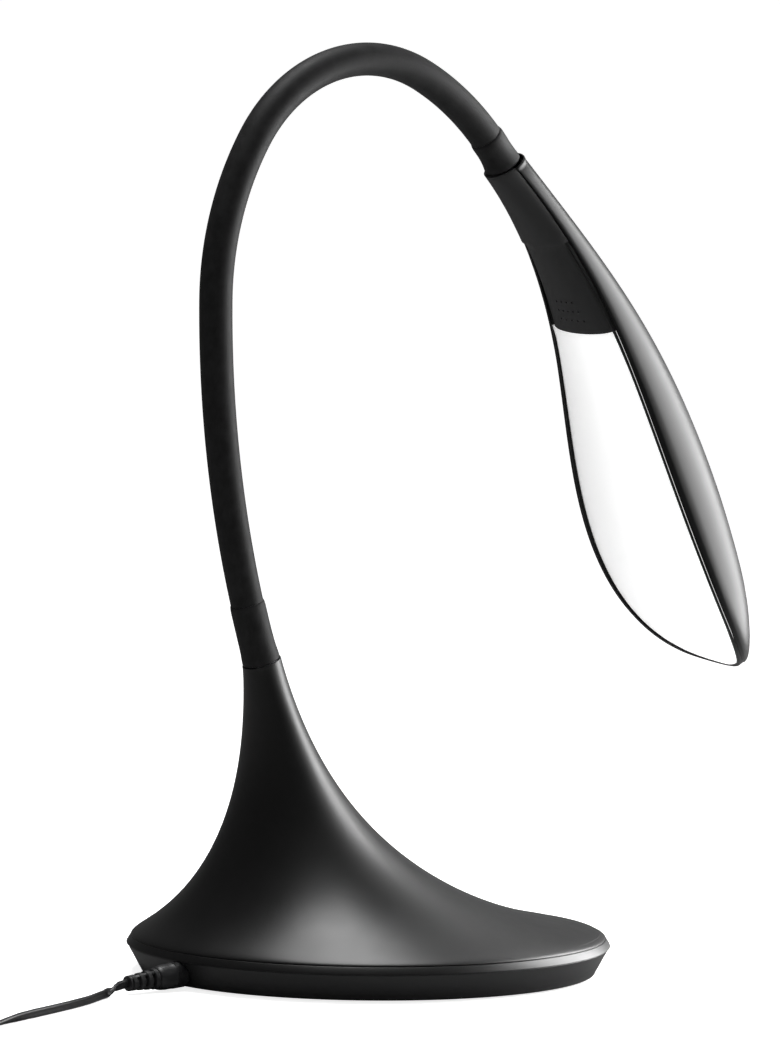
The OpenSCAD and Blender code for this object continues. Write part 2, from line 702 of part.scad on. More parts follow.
module head_shell() {
    $fn = 20;
    color(satin_black) head_place() difference() {
        union() {
            difference() {
                head_solid();
                loft([for (s = concat([[-1, head_collar_r, 0, head_collar_r + 0.3]],
                                      stations(0.1, head_l - 7, 36)))
                    arch(s[0], s[1] - head_wall, s[2], s[3] - head_wall, s[2] - 1)]);
            }
            intersection() {
                head_solid();
                union() {
                    at_light_screws() translate([0, 0, pad_gap]) cylinder(h = 40, r = 2.6);
                    at_clamp_screws() translate([0, 0, clamp_top]) cylinder(h = 10, r = 2);
                }
            }
        }
        at_light_screws() translate([0, 0, -over]) cylinder(h = 6 + over, r = 0.9);
        at_clamp_screws() translate([0, 0, clamp_top - over]) cylinder(h = 1.8 + over, r = 0.9);
    }
}
// Children stand on the heat spreader with local Z towards the back
module at_light_screws() {
    for (u = screw_u) translate([spreader_top(u), 0, u]) rotate([0, 90 + light_slope(u), 0]) children();
}

module head_cover() {
    color(matte_black) head_place() difference() {
        union() {
            loft([for (s = stations(head_start, cover_neck, 10))
                arch(s[0], s[1], s[2] - 2 * seam, cover_low(s[0]), s[2] - seam)]);
            loft([for (s = stations(cover_neck - 1, cover_end, 12)) cover_arch(s, 0)]);
        }
        loft([for (s = concat([[-1, head_collar_r, 0, 0]], stations(0.1, cover_neck - cover_wall, 10)))
            arch(s[0], s[1] - cover_wall, s[2], cover_low(s[0]) + cover_wall, s[2] + 1)]);
        loft([for (s = stations(cover_neck - cover_wall - 1, cover_end - cover_wall, 12))
            cover_arch(s, cover_wall)]);
        for (row = vent_rows, i = [0 : row[1] - 1])
            translate([cover_low(row[0]) - 2, (i - (row[1] - 1) / 2) * row[2], row[0]])
                rotate([0, 90, 0]) cylinder(h = 2 + 3 * cover_wall, r = vent_r, $fn = 16);
    }
}
function cover_arch(s, wall) = arch(s[0], s[1] * frame_open - 2 * light_gap - wall,
                                    s[2] + 0.5, cover_low(s[0]) + wall, s[2] + 0.52 + wall);

module light_frame() {
    color(matte_black) head_place() difference() {
        loft([for (s = stations(cover_neck + light_gap, tip_start, 36))
            hip_strip(s[0], s[1] * (frame_open + 0.025), s[1], s[2] - frame_t, s[2] - seam / 2)]);
        loft([for (s = stations(cover_neck - 1, light_end, 32))
            strip(s[0], s[1] * frame_open, s[2] - frame_t - 1, s[2] + 1)]);
    }
}
module diffuser() {
    color([0.97, 0.97, 0.95]) head_place() {
        loft([for (s = stations(cover_end + light_gap, light_end - light_gap, 30))
            strip(s[0], s[1] * frame_open - light_gap, s[2] - frame_t + 0.2, s[2] - seam / 2)]);
        loft([for (s = stations(cover_end + light_gap, flange_end, 28))
            strip(s[0], s[1] * frame_open - 2 * light_gap, s[2] - frame_t / 2, s[2] + 0.5)]);
        loft([for (s = stations(cover_end + light_gap, flange_end, 28))
            strip(s[0], min(s[1] * frame_open + 1, s[1] - head_wall - 2 * seam), s[2] + 0.1, s[2] + 0.9)]);
    }
}
module led_board() {
    color([0.95, 0.95, 0.93]) head_place() difference() {
        loft([for (s = stations(board_start - 3, board_end, 24))
            strip(s[0], s[1] * 0.6, s[2] + led_lift, s[2] + led_lift + led_board_t)]);
        at_light_screws() translate([0, 0, -6]) cylinder(h = 6, r = 1.3, $fn = 20);
    }
}
led_rows = 18;
module led_chips() {
    pitch = (board_end - board_start - 12) / (led_rows - 1);
    color([0.95, 0.85, 0.4]) head_place() for (i = [0 : led_rows - 1], y = [-1, 1]) {
        u = board_start + 6 + i * pitch;
        translate([head_at(u)[2] + led_lift, y * head_at(u)[1] * 0.36, u]) rotate([0, light_slope(u), 0])
            translate([-0.8, -1.4, -1.75]) cube([0.75, 2.8, 3.5]);
    }
}
module heat_spreader() {
    color([0.75, 0.76, 0.78]) head_place() difference() {
        loft([for (s = stations(board_start, board_end + 3, 24))
            let (low = s[2] + led_lift + led_board_t + pad_gap)
            strip(s[0], s[1] * 0.64, low, low + spreader_t)]);
        at_light_screws() translate([0, 0, -6]) cylinder(h = 12, r = 1.3, $fn = 20);
    }
}
module light_screws() {
    color(steel) head_place() at_light_screws() {
        translate([0, 0, -spreader_t - led_board_t - 1.4]) cylinder(h = 1.2, r = 1.9);
        translate([0, 0, -spreader_t - led_board_t - 0.3]) cylinder(h = 7, r = 0.85);
    }
}

// Saddle that holds the neck's end in the head
clamp_u = 9;
clamp_l = 8;
clamp_w = 12;
clamp_top = 6;
clamp_screw_y = 4.4;
clamp_gap = 0.15;    // soft liner between the saddle and the neck's end
module at_clamp_screws() {
    for (y = [-1, 1]) translate([0, y * clamp_screw_y, clamp_u + clamp_l / 2]) rotate([0, 90, 0]) children();
}
module hose_clamp() {
    color(steel) difference() {
        head_place() difference() {
            translate([1.2, -clamp_w / 2, clamp_u]) cube([clamp_top - 1.2, clamp_w, clamp_l]);
            at_clamp_screws() cylinder(h = clamp_top + over, r = 1.1);
        }
        along_neck(neck_l) cylinder(h = tip_stub_l + 2, r = tip_stub_r + clamp_gap);
    }
}
module clamp_screws() {
    color(steel) head_place() at_clamp_screws() {
        cylinder(h = 1.15, r = 1.2);
        translate([0, 0, 1]) cylinder(h = clamp_top + 0.6, r = 0.85);
    }
}
module head_wires() {
    // Lean of the hose's straight end in the head's own frame
    stub_lean = 90 - head_tilt + arc_heading(4);
    function on_stub(l) = [l * sin(stub_lean), 0, l * cos(stub_lean)];
    end_u = board_start - 2;
    end_x = head_at(end_u)[2] + led_lift + led_board_t + wire_r + 0.2;
    for (side = [-1, 1])
        color(side > 0 ? [0.75, 0.1, 0.1] : matte_black) head_place()
            sweep(concat([on_stub(0.3) + [0, side * wire_y, 0]],
                         spline([on_stub(tip_stub_l + 2) + [0, side * wire_y, 0],
                                 on_stub(tip_stub_l + 8) + [0.4, side * 0.9, 0], [6, side * 1.5, 42],
                                 [8, side * 2, 66], [6, side * 2, 84], [end_x, side * 2, end_u]], 4)),
                  wire_r, wire_r, [1, 0, 0]);
}

// ---- plug, cord and wall adapter ----
module plug_barrel() {
    color([0.8, 0.8, 0.8]) jack_place() difference() {
        translate([0, 0, -barrel_l]) cylinder(h = barrel_l + 0.2, r = barrel_r);
        translate([0, 0, -barrel_l - over]) cylinder(h = barrel_l - 1, r = 1.25);
    }
}
module plug_body() {
    color(rubber_black) jack_place() translate([0, 0, 0.2]) rotate_extrude() polygon([
        [0, 0], [plug_r - 0.4, 0], [plug_r, 0.4], [plug_r, plug_l * 0.6],
        [plug_r - 0.5, plug_l - 0.2], [0, plug_l - 0.2]]);
}
rib_count = 4;
module plug_relief() {
    core_r = relief_r - 0.9;
    pitch = relief_l / rib_count;
    color(rubber_black) jack_place() translate([0, 0, plug_l]) rotate_extrude() polygon(concat(
        [[0, 0]],
        [for (i = [0 : rib_count - 1])
            let (r = plug_r - 0.6 - (plug_r - 0.6 - relief_r) * (i + 0.6) / rib_count)
            each [[i == 0 ? r : core_r, i * pitch + 0.01], [r, i * pitch + 0.02],
                  [r, (i + 0.62) * pitch], [core_r, (i + 0.64) * pitch]]],
        [[core_r, relief_l], [0, relief_l]]));
}

plug_end_x = jack_x - (plug_l + relief_l) * cos(plug_droop);
plug_end_z = jack_z - (plug_l + relief_l) * sin(plug_droop);
lead_z = lead_t / 2 + 0.1;
coil_x = -base_r - 169.2;
coil_y = -33;
coil_in_a = -63.4;
// Route of the lead from the plug to the coil
lead_route = [
    [plug_end_x - 0.3, 0, plug_end_z], [-base_r - 28.2, -0.4, 4.1], [-base_r - 33.7, -1.8, 2.9],
    [-base_r - 40.2, -5.4, lead_z + 0.5], [-base_r - 47.2, -10, lead_z], [-base_r - 55.2, -15, lead_z],
    [-base_r - 65.2, -20, lead_z], [-base_r - 77.2, -25.5, lead_z], [-base_r - 90.2, -31, lead_z],
    [-base_r - 104.2, -37, lead_z], [-base_r - 119.2, -43.5, lead_z], [-base_r - 135.2, -51, lead_z],
    [coil_x + (coil_r + 0.4) * cos(coil_in_a), coil_y + (coil_r + 0.4) * sin(coil_in_a), lead_z]
];
coil_top_z = 2 * lead_t + 2 * lead_z + 0.2;
coil_inner_r = coil_r - 4.6 * lead_w - lead_w / 2;
adapter_x = coil_x - 56;
// Route of the lead from the coil to the wall adapter
tail_route = [
    [coil_x, coil_y - coil_r - 0.2, lead_z * 2 + lead_t * 0.6],
    [coil_x - 10, coil_y - coil_r - 0.2, lead_z * 2], [coil_x - 19, coil_y - coil_r, lead_z + 1],
    [coil_x - 29, coil_y - coil_r, 5.5], [coil_x - 38, coil_y - coil_r, 11.5],
    [coil_x - 44, coil_y - coil_r, adapter_size[2] / 2 - 0.1],
    [adapter_x + 8.3, coil_y - coil_r, adapter_size[2] / 2]
];
module cord_lead() {
    color(rubber_black) sweep(spline(lead_route, 3), lead_w / 2, lead_t / 2, [0, 0, 1]);
}
module cord_tail() {
    color(rubber_black) sweep(spline(tail_route, 3), lead_w / 2, lead_t / 2, [0, 0, 1]);
}
module cord_coil() {
    color(rubber_black) translate([coil_x, coil_y, 0]) rotate_extrude($fn = 96)
        translate([coil_inner_r, 0.1]) square([coil_r - lead_w / 2 - 0.3 - coil_inner_r, coil_top_z]);
}
module coil_tie() {
    tie_w = 7;
    color(matte_black) translate([coil_x, coil_y, 0]) rotate([0, 0, 150]) difference() {
        translate([coil_inner_r - 1.8, -tie_w / 2, 0])
            cube([coil_r - coil_inner_r + 1.6, tie_w, coil_top_z + 1]);
        translate([coil_inner_r - 0.9, -tie_w, 0.05])
            cube([coil_r - coil_inner_r - 0.4, 2 * tie_w, coil_top_z + 0.15]);
    }
}
module adapter_place() {
    translate([adapter_x, coil_y - coil_r, adapter_size[2] / 2]) rotate([0, -90, 0]) children();
}
module adapter_body() {
    color(satin_black) adapter_place() {
        translate([-adapter_size[2] / 2, -adapter_size[1] / 2, 0])
            rounded_block(adapter_size[2], adapter_size[1], adapter_size[0], 4);
        translate([0, 0, -7.9]) cylinder(h = 8, r1 = relief_r - 0.4, r2 = relief_r + 1.2);
    }
}
module rounded_block(a, b, c, r) {
    linear_extrude(c) union() {
        translate([r, 0]) square([a - 2 * r, b]);
        translate([0, r]) square([a, b - 2 * r]);
        for (x = [r, a - r], y = [r, b - r]) translate([x, y]) circle(r = r);
    }
}
module adapter_prongs() {
    color(brass) adapter_place() for (y = [-1, 1])
        translate([-3.15, y * 6.35 - 0.75, adapter_size[0]]) cube([6.3, 1.5, 16.5]);
}

base_shell();
base_tray();
antislip_pad();
ballast_plate();
ballast_screws();
tray_screws();
dc_jack();
jack_wires();
driver_board();
board_parts();
board_standoffs();
board_screws();
touch_pad();
hose_nut();
hose_washer();
base_wires();
threaded_pipe();
neck_cuff_lower();
neck_cuff_upper();
hose_foot();
hose_link(1);  // hose_link_1
hose_link(2);  // hose_link_2
hose_link(3);  // hose_link_3
hose_link(4);  // hose_link_4
hose_link(5);  // hose_link_5
hose_tip();
sleeve(1);  // sleeve_1
sleeve(2);  // sleeve_2
sleeve(3);  // sleeve_3
sleeve(4);  // sleeve_4
sleeve(5);  // sleeve_5
sleeve(6);  // sleeve_6
neck_wires(1);  // neck_wires_1
neck_wires(2);  // neck_wires_2
neck_wires(3);  // neck_wires_3
neck_wires(4);  // neck_wires_4
head_shell();
head_cover();
light_frame();
diffuser();
led_board();
led_chips();
heat_spreader();
light_screws();
hose_clamp();
clamp_screws();
head_wires();
plug_body();
plug_relief();
plug_barrel();
cord_lead();
cord_coil();
cord_tail();
coil_tie();
adapter_body();
adapter_prongs();
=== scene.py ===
import json
import math

import bpy
from mathutils import Matrix, Vector

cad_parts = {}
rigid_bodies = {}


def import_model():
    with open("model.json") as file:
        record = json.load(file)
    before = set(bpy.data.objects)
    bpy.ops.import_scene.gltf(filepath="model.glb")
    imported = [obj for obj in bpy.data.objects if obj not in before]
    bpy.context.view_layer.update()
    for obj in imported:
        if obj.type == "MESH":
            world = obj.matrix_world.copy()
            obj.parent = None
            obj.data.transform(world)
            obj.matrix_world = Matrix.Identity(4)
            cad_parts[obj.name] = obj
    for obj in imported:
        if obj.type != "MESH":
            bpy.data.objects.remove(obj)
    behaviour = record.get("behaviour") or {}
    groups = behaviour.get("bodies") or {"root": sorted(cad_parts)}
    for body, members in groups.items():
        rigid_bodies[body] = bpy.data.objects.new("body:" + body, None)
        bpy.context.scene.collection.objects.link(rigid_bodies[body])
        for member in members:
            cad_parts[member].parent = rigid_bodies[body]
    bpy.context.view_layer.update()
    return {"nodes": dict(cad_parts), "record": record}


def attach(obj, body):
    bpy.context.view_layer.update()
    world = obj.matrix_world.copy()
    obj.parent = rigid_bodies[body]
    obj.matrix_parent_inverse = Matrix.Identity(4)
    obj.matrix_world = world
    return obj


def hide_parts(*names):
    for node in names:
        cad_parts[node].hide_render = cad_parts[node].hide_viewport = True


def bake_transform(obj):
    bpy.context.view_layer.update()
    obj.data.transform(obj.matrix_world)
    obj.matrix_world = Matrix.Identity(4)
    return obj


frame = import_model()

mm = 0.001
nodes = frame["nodes"]


def deselectAll():
    for item in bpy.context.view_layer.objects:
        item.select_set(False)


def pickOnly(piece):
    deselectAll()
    piece.select_set(True)
    bpy.context.view_layer.objects.active = piece


def namePiece(name):
    piece = bpy.context.object
    piece.name = name
    piece.data.name = name
    return piece


def startEdit():
    bpy.ops.object.mode_set(mode="EDIT")
    bpy.ops.mesh.select_all(action="SELECT")


def endEdit():
    bpy.ops.object.mode_set(mode="OBJECT")
    bpy.context.tool_settings.mesh_select_mode = (True, False, False)


def editWhere(piece, kind, wanted):  # starts editing with only the wanted elements selected
    pickOnly(piece)
    kinds = ("vertices", "edges", "polygons")
    bpy.context.tool_settings.mesh_select_mode = [kind == k for k in kinds]
    for k in kinds:
        items = getattr(piece.data, k)
        items.foreach_set("select", [k == kind and bool(wanted(item)) for item in items])
    bpy.ops.object.mode_set(mode="EDIT")


def span(piece, edge):
    a, b = (piece.data.vertices[v].co for v in edge.vertices)
    return a - b


def closeHoles(piece):
    editWhere(piece, "vertices", lambda v: False)
    bpy.ops.mesh.select_non_manifold(extend=False)
    bpy.ops.mesh.fill_holes(sides=0)
    endEdit()


def settle(piece, place=None):  # puts a piece where it belongs, with the place kept in its mesh
    if place is not None:
        piece.matrix_world = place @ piece.matrix_world
    pickOnly(piece)
    bpy.ops.object.transform_apply(location=True, rotation=True, scale=True)


def applyAll(piece):
    pickOnly(piece)
    for modifier in list(piece.modifiers):
        bpy.ops.object.modifier_apply(modifier=modifier.name)


def turnOut(piece, merge=None):  # all faces of a closed piece point outwards
    pickOnly(piece)
    startEdit()
    if merge:
        bpy.ops.mesh.remove_doubles(threshold=merge)
    bpy.ops.mesh.normals_make_consistent(inside=False)
    endEdit()


def faceOutwards(piece, inside):  # inside(point) gives the nearest point of the piece's middle line
    turnOut(piece, 0.01 * mm)
    outward = sum((f.center - inside(f.center)).normalized().dot(f.normal) * f.area
                  for f in piece.data.polygons)
    if outward < 0:
        startEdit()
        bpy.ops.mesh.flip_normals()
        endEdit()


def giveWall(piece, thickness, group=None):
    wall = piece.modifiers.new("wall", "SOLIDIFY")
    wall.thickness = thickness * mm
    wall.offset = -1
    wall.use_even_offset = True
    if group:
        wall.vertex_group = group
        wall.thickness_vertex_group = 0.1
    applyAll(piece)


def roundEdges(piece, width, segments=2, angle=40, material=-1):
    edge = piece.modifiers.new("edges", "BEVEL")
    edge.width = width * mm
    edge.segments = segments
    edge.limit_method = "ANGLE"
    edge.angle_limit = math.radians(angle)
    edge.material = material
    edge.harden_normals = False
    applyAll(piece)


def smooth(piece, angle=32):
    pickOnly(piece)
    bpy.ops.object.shade_smooth_by_angle(angle=math.radians(angle))


def cutWith(piece, cutter):
    cut = piece.modifiers.new("cut", "BOOLEAN")
    cut.operation = "DIFFERENCE"
    cut.solver = "EXACT"
    cut.object = cutter
    applyAll(piece)
    bpy.data.objects.remove(cutter)


def addBlock(name, size, middle):  # sizes in millimetres
    deselectAll()
    bpy.ops.mesh.primitive_cube_add(size=1)
    block = namePiece(name)
    startEdit()
    bpy.ops.transform.resize(value=Vector(size) * mm)
    bpy.ops.transform.translate(value=Vector(middle) * mm)
    endEdit()
    return block


def addCylinder(radius, depth, place, rotation=(0, 0, 0), sides=48):
    deselectAll()
    bpy.ops.mesh.primitive_cylinder_add(vertices=sides, radius=radius * mm, depth=depth * mm,
                                        location=Vector(place) * mm, rotation=rotation)
    return bpy.context.object


def joinAll(name, parts):
    deselectAll()
    for part in parts:
        part.select_set(True)
    bpy.context.view_layer.objects.active = parts[0]
    bpy.ops.object.join()
    return namePiece(name)


def onCurve(points, t):  # a point on the smooth curve that a list of control points pulls along
    points = [Vector(p) for p in points]
    while len(points) > 1:
        points = [a.lerp(b, t) for a, b in zip(points, points[1:])]
    return points[0]


def walkRings(name, rings, sides, startCap="NOTHING"):
    # rings: (centre, lean in degrees of the ring's own +X towards +Z, radius), in millimetres
    centre, lean, radius = rings[0]
    deselectAll()
    bpy.ops.mesh.primitive_circle_add(
        vertices=sides, radius=radius * mm, location=Vector(centre) * mm,
        rotation=(0, -math.radians(lean), 0), fill_type=startCap)
    startEdit()
    for nextCentre, nextLean, nextRadius in rings[1:]:
        step = (Vector(nextCentre) - Vector(centre)) * mm
        pivot = Vector(nextCentre) * mm
        bpy.ops.mesh.extrude_region_move(TRANSFORM_OT_translate={"value": step})
        grow = nextRadius / radius
        if abs(grow - 1) > 1e-6:
            bpy.ops.transform.resize(value=(grow, grow, grow), center_override=pivot)
        if abs(nextLean - lean) > 1e-6:
            bpy.ops.transform.rotate(value=math.radians(nextLean - lean), orient_axis="Y",
                                     center_override=pivot)
        centre, lean, radius = nextCentre, nextLean, nextRadius
    endEdit()
    piece = namePiece(name)
    settle(piece)
    return piece


def straightRings(profile):  # (height, radius) pairs stacked along Z
    return [((0, 0, z), 0, r) for z, r in profile]


def walkArch(name, rows, steps, side=1, under=0, drop=1):
    # rows: (along, half width, chord, crown) in millimetres; the arch stands from chord to crown,
    # and its edge turns in for some more steps past the chord, squeezed to a share of their depth
    along, half, chord, crown = rows[0]
    deselectAll()
    bpy.ops.mesh.primitive_circle_add(vertices=2 * steps, radius=mm, location=(0, 0, 0))
    piece = namePiece(name)
    low = -math.sin(math.pi * under / steps) - 0.01
    editWhere(piece, "vertices", lambda v: v.co.x * side < low * mm)
    bpy.ops.mesh.delete(type="VERT")
    endEdit()
    editWhere(piece, "vertices", lambda v: v.co.x * side < -0.01 * mm)
    bpy.ops.transform.resize(value=(drop, 1, 1), center_override=(0, 0, 0))
    bpy.ops.mesh.select_all(action="SELECT")
    bpy.ops.transform.resize(value=(abs(crown - chord), half, 1), center_override=(0, 0, 0))
    bpy.ops.transform.translate(value=(chord * mm, 0, along * mm))
    for nextAlong, nextHalf, nextChord, nextCrown in rows[1:]:
        bpy.ops.mesh.extrude_region_move(TRANSFORM_OT_translate={
            "value": ((nextChord - chord) * mm, 0, (nextAlong - along) * mm)})
        bpy.ops.transform.resize(
            value=((nextCrown - nextChord) / (crown - chord), nextHalf / half, 1),
            center_override=(nextChord * mm, 0, nextAlong * mm))
        along, half, chord, crown = nextAlong, nextHalf, nextChord, nextCrown
    endEdit()
    return piece


cameraView = {
    "aim": (16.39, 9.51, 180.02),  # mm, in the middle of the view
    "round": 38.5,                 # degrees round the lamp from its side
    "above": 5.6,                  # degrees above the desk
    "roll": 0.6,
    "distance": 5000,              # mm
    "lens": 432.7,
}


def addCamera(c):
    a, e, r = (math.radians(c[k]) for k in ("round", "above", "roll"))
    across = Vector((math.cos(a), -math.sin(a), 0))
    rise = Vector((math.sin(a) * math.sin(e), math.cos(a) * math.sin(e), math.cos(e)))
    back = Vector((-math.sin(a) * math.cos(e), -math.cos(a) * math.cos(e), math.sin(e)))
    right = across * math.cos(r) + rise * math.sin(r)
    up = -across * math.sin(r) + rise * math.cos(r)
    data = bpy.data.cameras.new("camera")
    data.lens = c["lens"]
    data.sensor_width = 36
    data.clip_end = 30
    camera = bpy.data.objects.new("camera", data)
    bpy.context.scene.collection.objects.link(camera)
    spot = (Vector(c["aim"]) + back * c["distance"]) * mm
    camera.matrix_world = Matrix.Translation(spot) @ Matrix((right, up, back)).transposed().to_4x4()
    bpy.context.scene.camera = camera
    return right, up, back


viewRight, viewUp, viewBack = addCamera(cameraView)
print("camera placed")


def newGroup(name, inputs, outputs):
    group = bpy.data.node_groups.new(name, "ShaderNodeTree")
    for label, kind, value in inputs:
        socket = group.interface.new_socket(label, in_out="INPUT", socket_type="NodeSocket" + kind)
        socket.default_value = value
    for label, kind in outputs:
        group.interface.new_socket(label, in_out="OUTPUT", socket_type="NodeSocket" + kind)
    return group, group.nodes.new("NodeGroupInput"), group.nodes.new("NodeGroupOutput")


def wire(tree, *pairs):
    for out, into in pairs:
        tree.links.new(out, into)


def newMath(tree, operation, a=None, b=None, c=None):
    node = tree.nodes.new("ShaderNodeMath")
    node.operation = operation
    for socket, value in zip(node.inputs, (a, b, c)):
        if isinstance(value, (int, float)):
            socket.default_value = value
        elif value is not None:
            tree.links.new(value, socket)
    return node.outputs[0]


def mapRange(tree, value, low, high, outLow, outHigh):
    node = tree.nodes.new("ShaderNodeMapRange")
    tree.links.new(value, node.inputs["Value"])
    for label, number in (("From Min", low), ("From Max", high), ("To Min", outLow), ("To Max", outHigh)):
        if isinstance(number, (int, float)):
            node.inputs[label].default_value = number
        else:
            tree.links.new(number, node.inputs[label])
    return node.outputs["Result"]


def newNoise(tree, vector, scale, detail=3, rough=0.55):
    node = tree.nodes.new("ShaderNodeTexNoise")
    node.inputs["Detail"].default_value = detail
    node.inputs["Roughness"].default_value = rough
    tree.links.new(vector, node.inputs["Vector"])
    if isinstance(scale, (int, float)):
        node.inputs["Scale"].default_value = scale
    else:
        tree.links.new(scale, node.inputs["Scale"])
    return node.outputs["Fac"]


def makeMouldedGrain():  # fine spark-eroded grain of a moulding, with slow drift in its gloss
    group, given, result = newGroup(
        "mouldedGrain",
        [("Vector", "Vector", (0, 0, 0)), ("Grain Scale", "Float", 3000), ("Drift Scale", "Float", 12)],
        [("Height", "Float"), ("Drift", "Float")])
    fine = newNoise(group, given.outputs["Vector"], given.outputs["Grain Scale"], 2)
    pits = group.nodes.new("ShaderNodeTexVoronoi")
    wire(group, (given.outputs["Vector"], pits.inputs["Vector"]),
         (given.outputs["Grain Scale"], pits.inputs["Scale"]))
    height = newMath(group, "MULTIPLY_ADD", pits.outputs["Distance"], 0.6, fine)
    drift = newNoise(group, given.outputs["Vector"], given.outputs["Drift Scale"], 4)
    wire(group, (height, result.inputs["Height"]), (drift, result.inputs["Drift"]))
    return group


def makeDust():  # faint specks and lint, thicker on faces that look up
    group, given, result = newGroup(
        "settledDust",
        [("Vector", "Vector", (0, 0, 0)), ("Scale", "Float", 900), ("Amount", "Float", 0.3)],
        [("Mask", "Float")])
    specks = group.nodes.new("ShaderNodeTexVoronoi")
    specks.inputs["Randomness"].default_value = 1
    wire(group, (given.outputs["Vector"], specks.inputs["Vector"]),
         (given.outputs["Scale"], specks.inputs["Scale"]))
    dots = mapRange(group, specks.outputs["Distance"], 0.05, 0.12, 1, 0)
    patches = mapRange(group, newNoise(group, given.outputs["Vector"], 25, 3), 0.45, 0.7, 0, 1)
    geometry = group.nodes.new("ShaderNodeNewGeometry")
    split = group.nodes.new("ShaderNodeSeparateXYZ")
    wire(group, (geometry.outputs["Normal"], split.inputs[0]))
    upward = mapRange(group, split.outputs["Z"], 0.1, 0.9, 0, 1)
    mask = newMath(group, "MULTIPLY", newMath(group, "MULTIPLY", dots, patches), upward)
    wire(group, (newMath(group, "MULTIPLY", mask, given.outputs["Amount"]), result.inputs["Mask"]))
    return group


def makeHandling():  # soft-edged patches where hands have polished the surface
    group, given, result = newGroup(
        "handlingMarks",
        [("Vector", "Vector", (0, 0, 0)), ("Scale", "Float", 30), ("Strength", "Float", 0.5)],
        [("Gloss", "Float")])
    cloud = newNoise(group, given.outputs["Vector"], given.outputs["Scale"], 5, 0.6)
    marks = mapRange(group, cloud, 0.48, 0.68, 0, 1)
    wire(group, (newMath(group, "MULTIPLY", marks, given.outputs["Strength"]), result.inputs["Gloss"]))
    return group


def makeBrushed():  # long fine scratches of turned or rolled metal
    group, given, result = newGroup(
        "brushedMetal",
        [("Vector", "Vector", (0, 0, 0)), ("Scale", "Float", 1200), ("Stretch", "Float", 0.03)],
        [("Height", "Float"), ("Streak", "Float")])
    squeeze = group.nodes.new("ShaderNodeCombineXYZ")
    squeeze.inputs["X"].default_value = 1
    squeeze.inputs["Y"].default_value = 1
    wire(group, (given.outputs["Stretch"], squeeze.inputs["Z"]))
    multiply = group.nodes.new("ShaderNodeVectorMath")
    multiply.operation = "MULTIPLY"
    wire(group, (given.outputs["Vector"], multiply.inputs[0]), (squeeze.outputs[0], multiply.inputs[1]))
    streak = newNoise(group, multiply.outputs[0], given.outputs["Scale"], 3)
    wire(group, (streak, result.inputs["Height"]), (streak, result.inputs["Streak"]))
    return group


grainGroup = makeMouldedGrain()
dustGroup = makeDust()
handlingGroup = makeHandling()
brushedGroup = makeBrushed()


def newMaterial(name, colour, roughness, **constants):
    material = bpy.data.materials.new(name)
    material.use_nodes = True
    tree = material.node_tree
    shader = tree.nodes["Principled BSDF"]
    shader.inputs["Base Color"].default_value = (*colour, 1)
    shader.inputs["Roughness"].default_value = roughness
    for label, value in constants.items():
        shader.inputs[label.replace("_", " ")].default_value = value
    coords = tree.nodes.new("ShaderNodeTexCoord").outputs["Object"]
    return material, tree, shader, coords


def placeGroup(tree, group, vector, **values):
    node = tree.nodes.new("ShaderNodeGroup")
    node.node_tree = group
    tree.links.new(vector, node.inputs["Vector"])
    for label, value in values.items():
        node.inputs[label.replace("_", " ")].default_value = value
    return node


def addBump(tree, shader, height, strength, distance):
    bump = tree.nodes.new("ShaderNodeBump")
    bump.inputs["Strength"].default_value = strength
    bump.inputs["Distance"].default_value = distance
    wire(tree, (height, bump.inputs["Height"]), (bump.outputs["Normal"], shader.inputs["Normal"]))


def mixColours(tree, factor, first, second):
    mix = tree.nodes.new("ShaderNodeMix")
    mix.data_type = "RGBA"
    mix.inputs["A"].default_value = (*first, 1)
    mix.inputs["B"].default_value = (*second, 1)
    tree.links.new(factor, mix.inputs["Factor"])
    return mix.outputs["Result"]


def addDust(tree, dust, base, dustColour):
    mix = tree.nodes.new("ShaderNodeMix")
    mix.data_type = "RGBA"
    mix.inputs["B"].default_value = (*dustColour, 1)
    wire(tree, (dust.outputs["Mask"], mix.inputs["Factor"]), (base, mix.inputs["A"]))
    return mix.outputs["Result"]


def makePlastic(name, f):
    material, tree, shader, coords = newMaterial(
        name, f["colour"], f["roughness"], Specular_IOR_Level=f["specular"])
    grain = placeGroup(tree, grainGroup, coords, Grain_Scale=f["grainScale"], Drift_Scale=f["driftScale"])
    dust = placeGroup(tree, dustGroup, coords, Amount=f["dust"])
    handling = placeGroup(tree, handlingGroup, coords, Strength=f["handling"])
    addBump(tree, shader, grain.outputs["Height"], f["bump"], f["grainDepth"] * mm)
    base = mixColours(tree, grain.outputs["Drift"], [c * 0.85 for c in f["colour"]],
                      [c * 1.15 for c in f["colour"]])
    wire(tree, (addDust(tree, dust, base, (0.22, 0.21, 0.2)), shader.inputs["Base Color"]))
    rough = mapRange(tree, grain.outputs["Drift"], 0.3, 0.7, f["roughness"] - 0.03, f["roughness"] + 0.03)
    rough = newMath(tree, "SUBTRACT", rough, newMath(tree, "MULTIPLY", handling.outputs["Gloss"], 0.08))
    rough = newMath(tree, "MULTIPLY_ADD", dust.outputs["Mask"], 0.4, rough)
    wire(tree, (rough, shader.inputs["Roughness"]))
    return material


def makeMetal(name, f):
    material, tree, shader, coords = newMaterial(name, f["colour"], f["roughness"], Metallic=1.0)
    brushed = placeGroup(tree, brushedGroup, coords, Scale=f["scale"], Stretch=f["stretch"])
    addBump(tree, shader, brushed.outputs["Height"], 0.3, 0.02 * mm)
    streak, rough = brushed.outputs["Streak"], f["roughness"]
    wire(tree, (mixColours(tree, streak, [c * 0.8 for c in f["colour"]], f["colour"]),
                shader.inputs["Base Color"]),
         (mapRange(tree, streak, 0.3, 0.7, rough - 0.06, rough + 0.1), shader.inputs["Roughness"]))
    return material


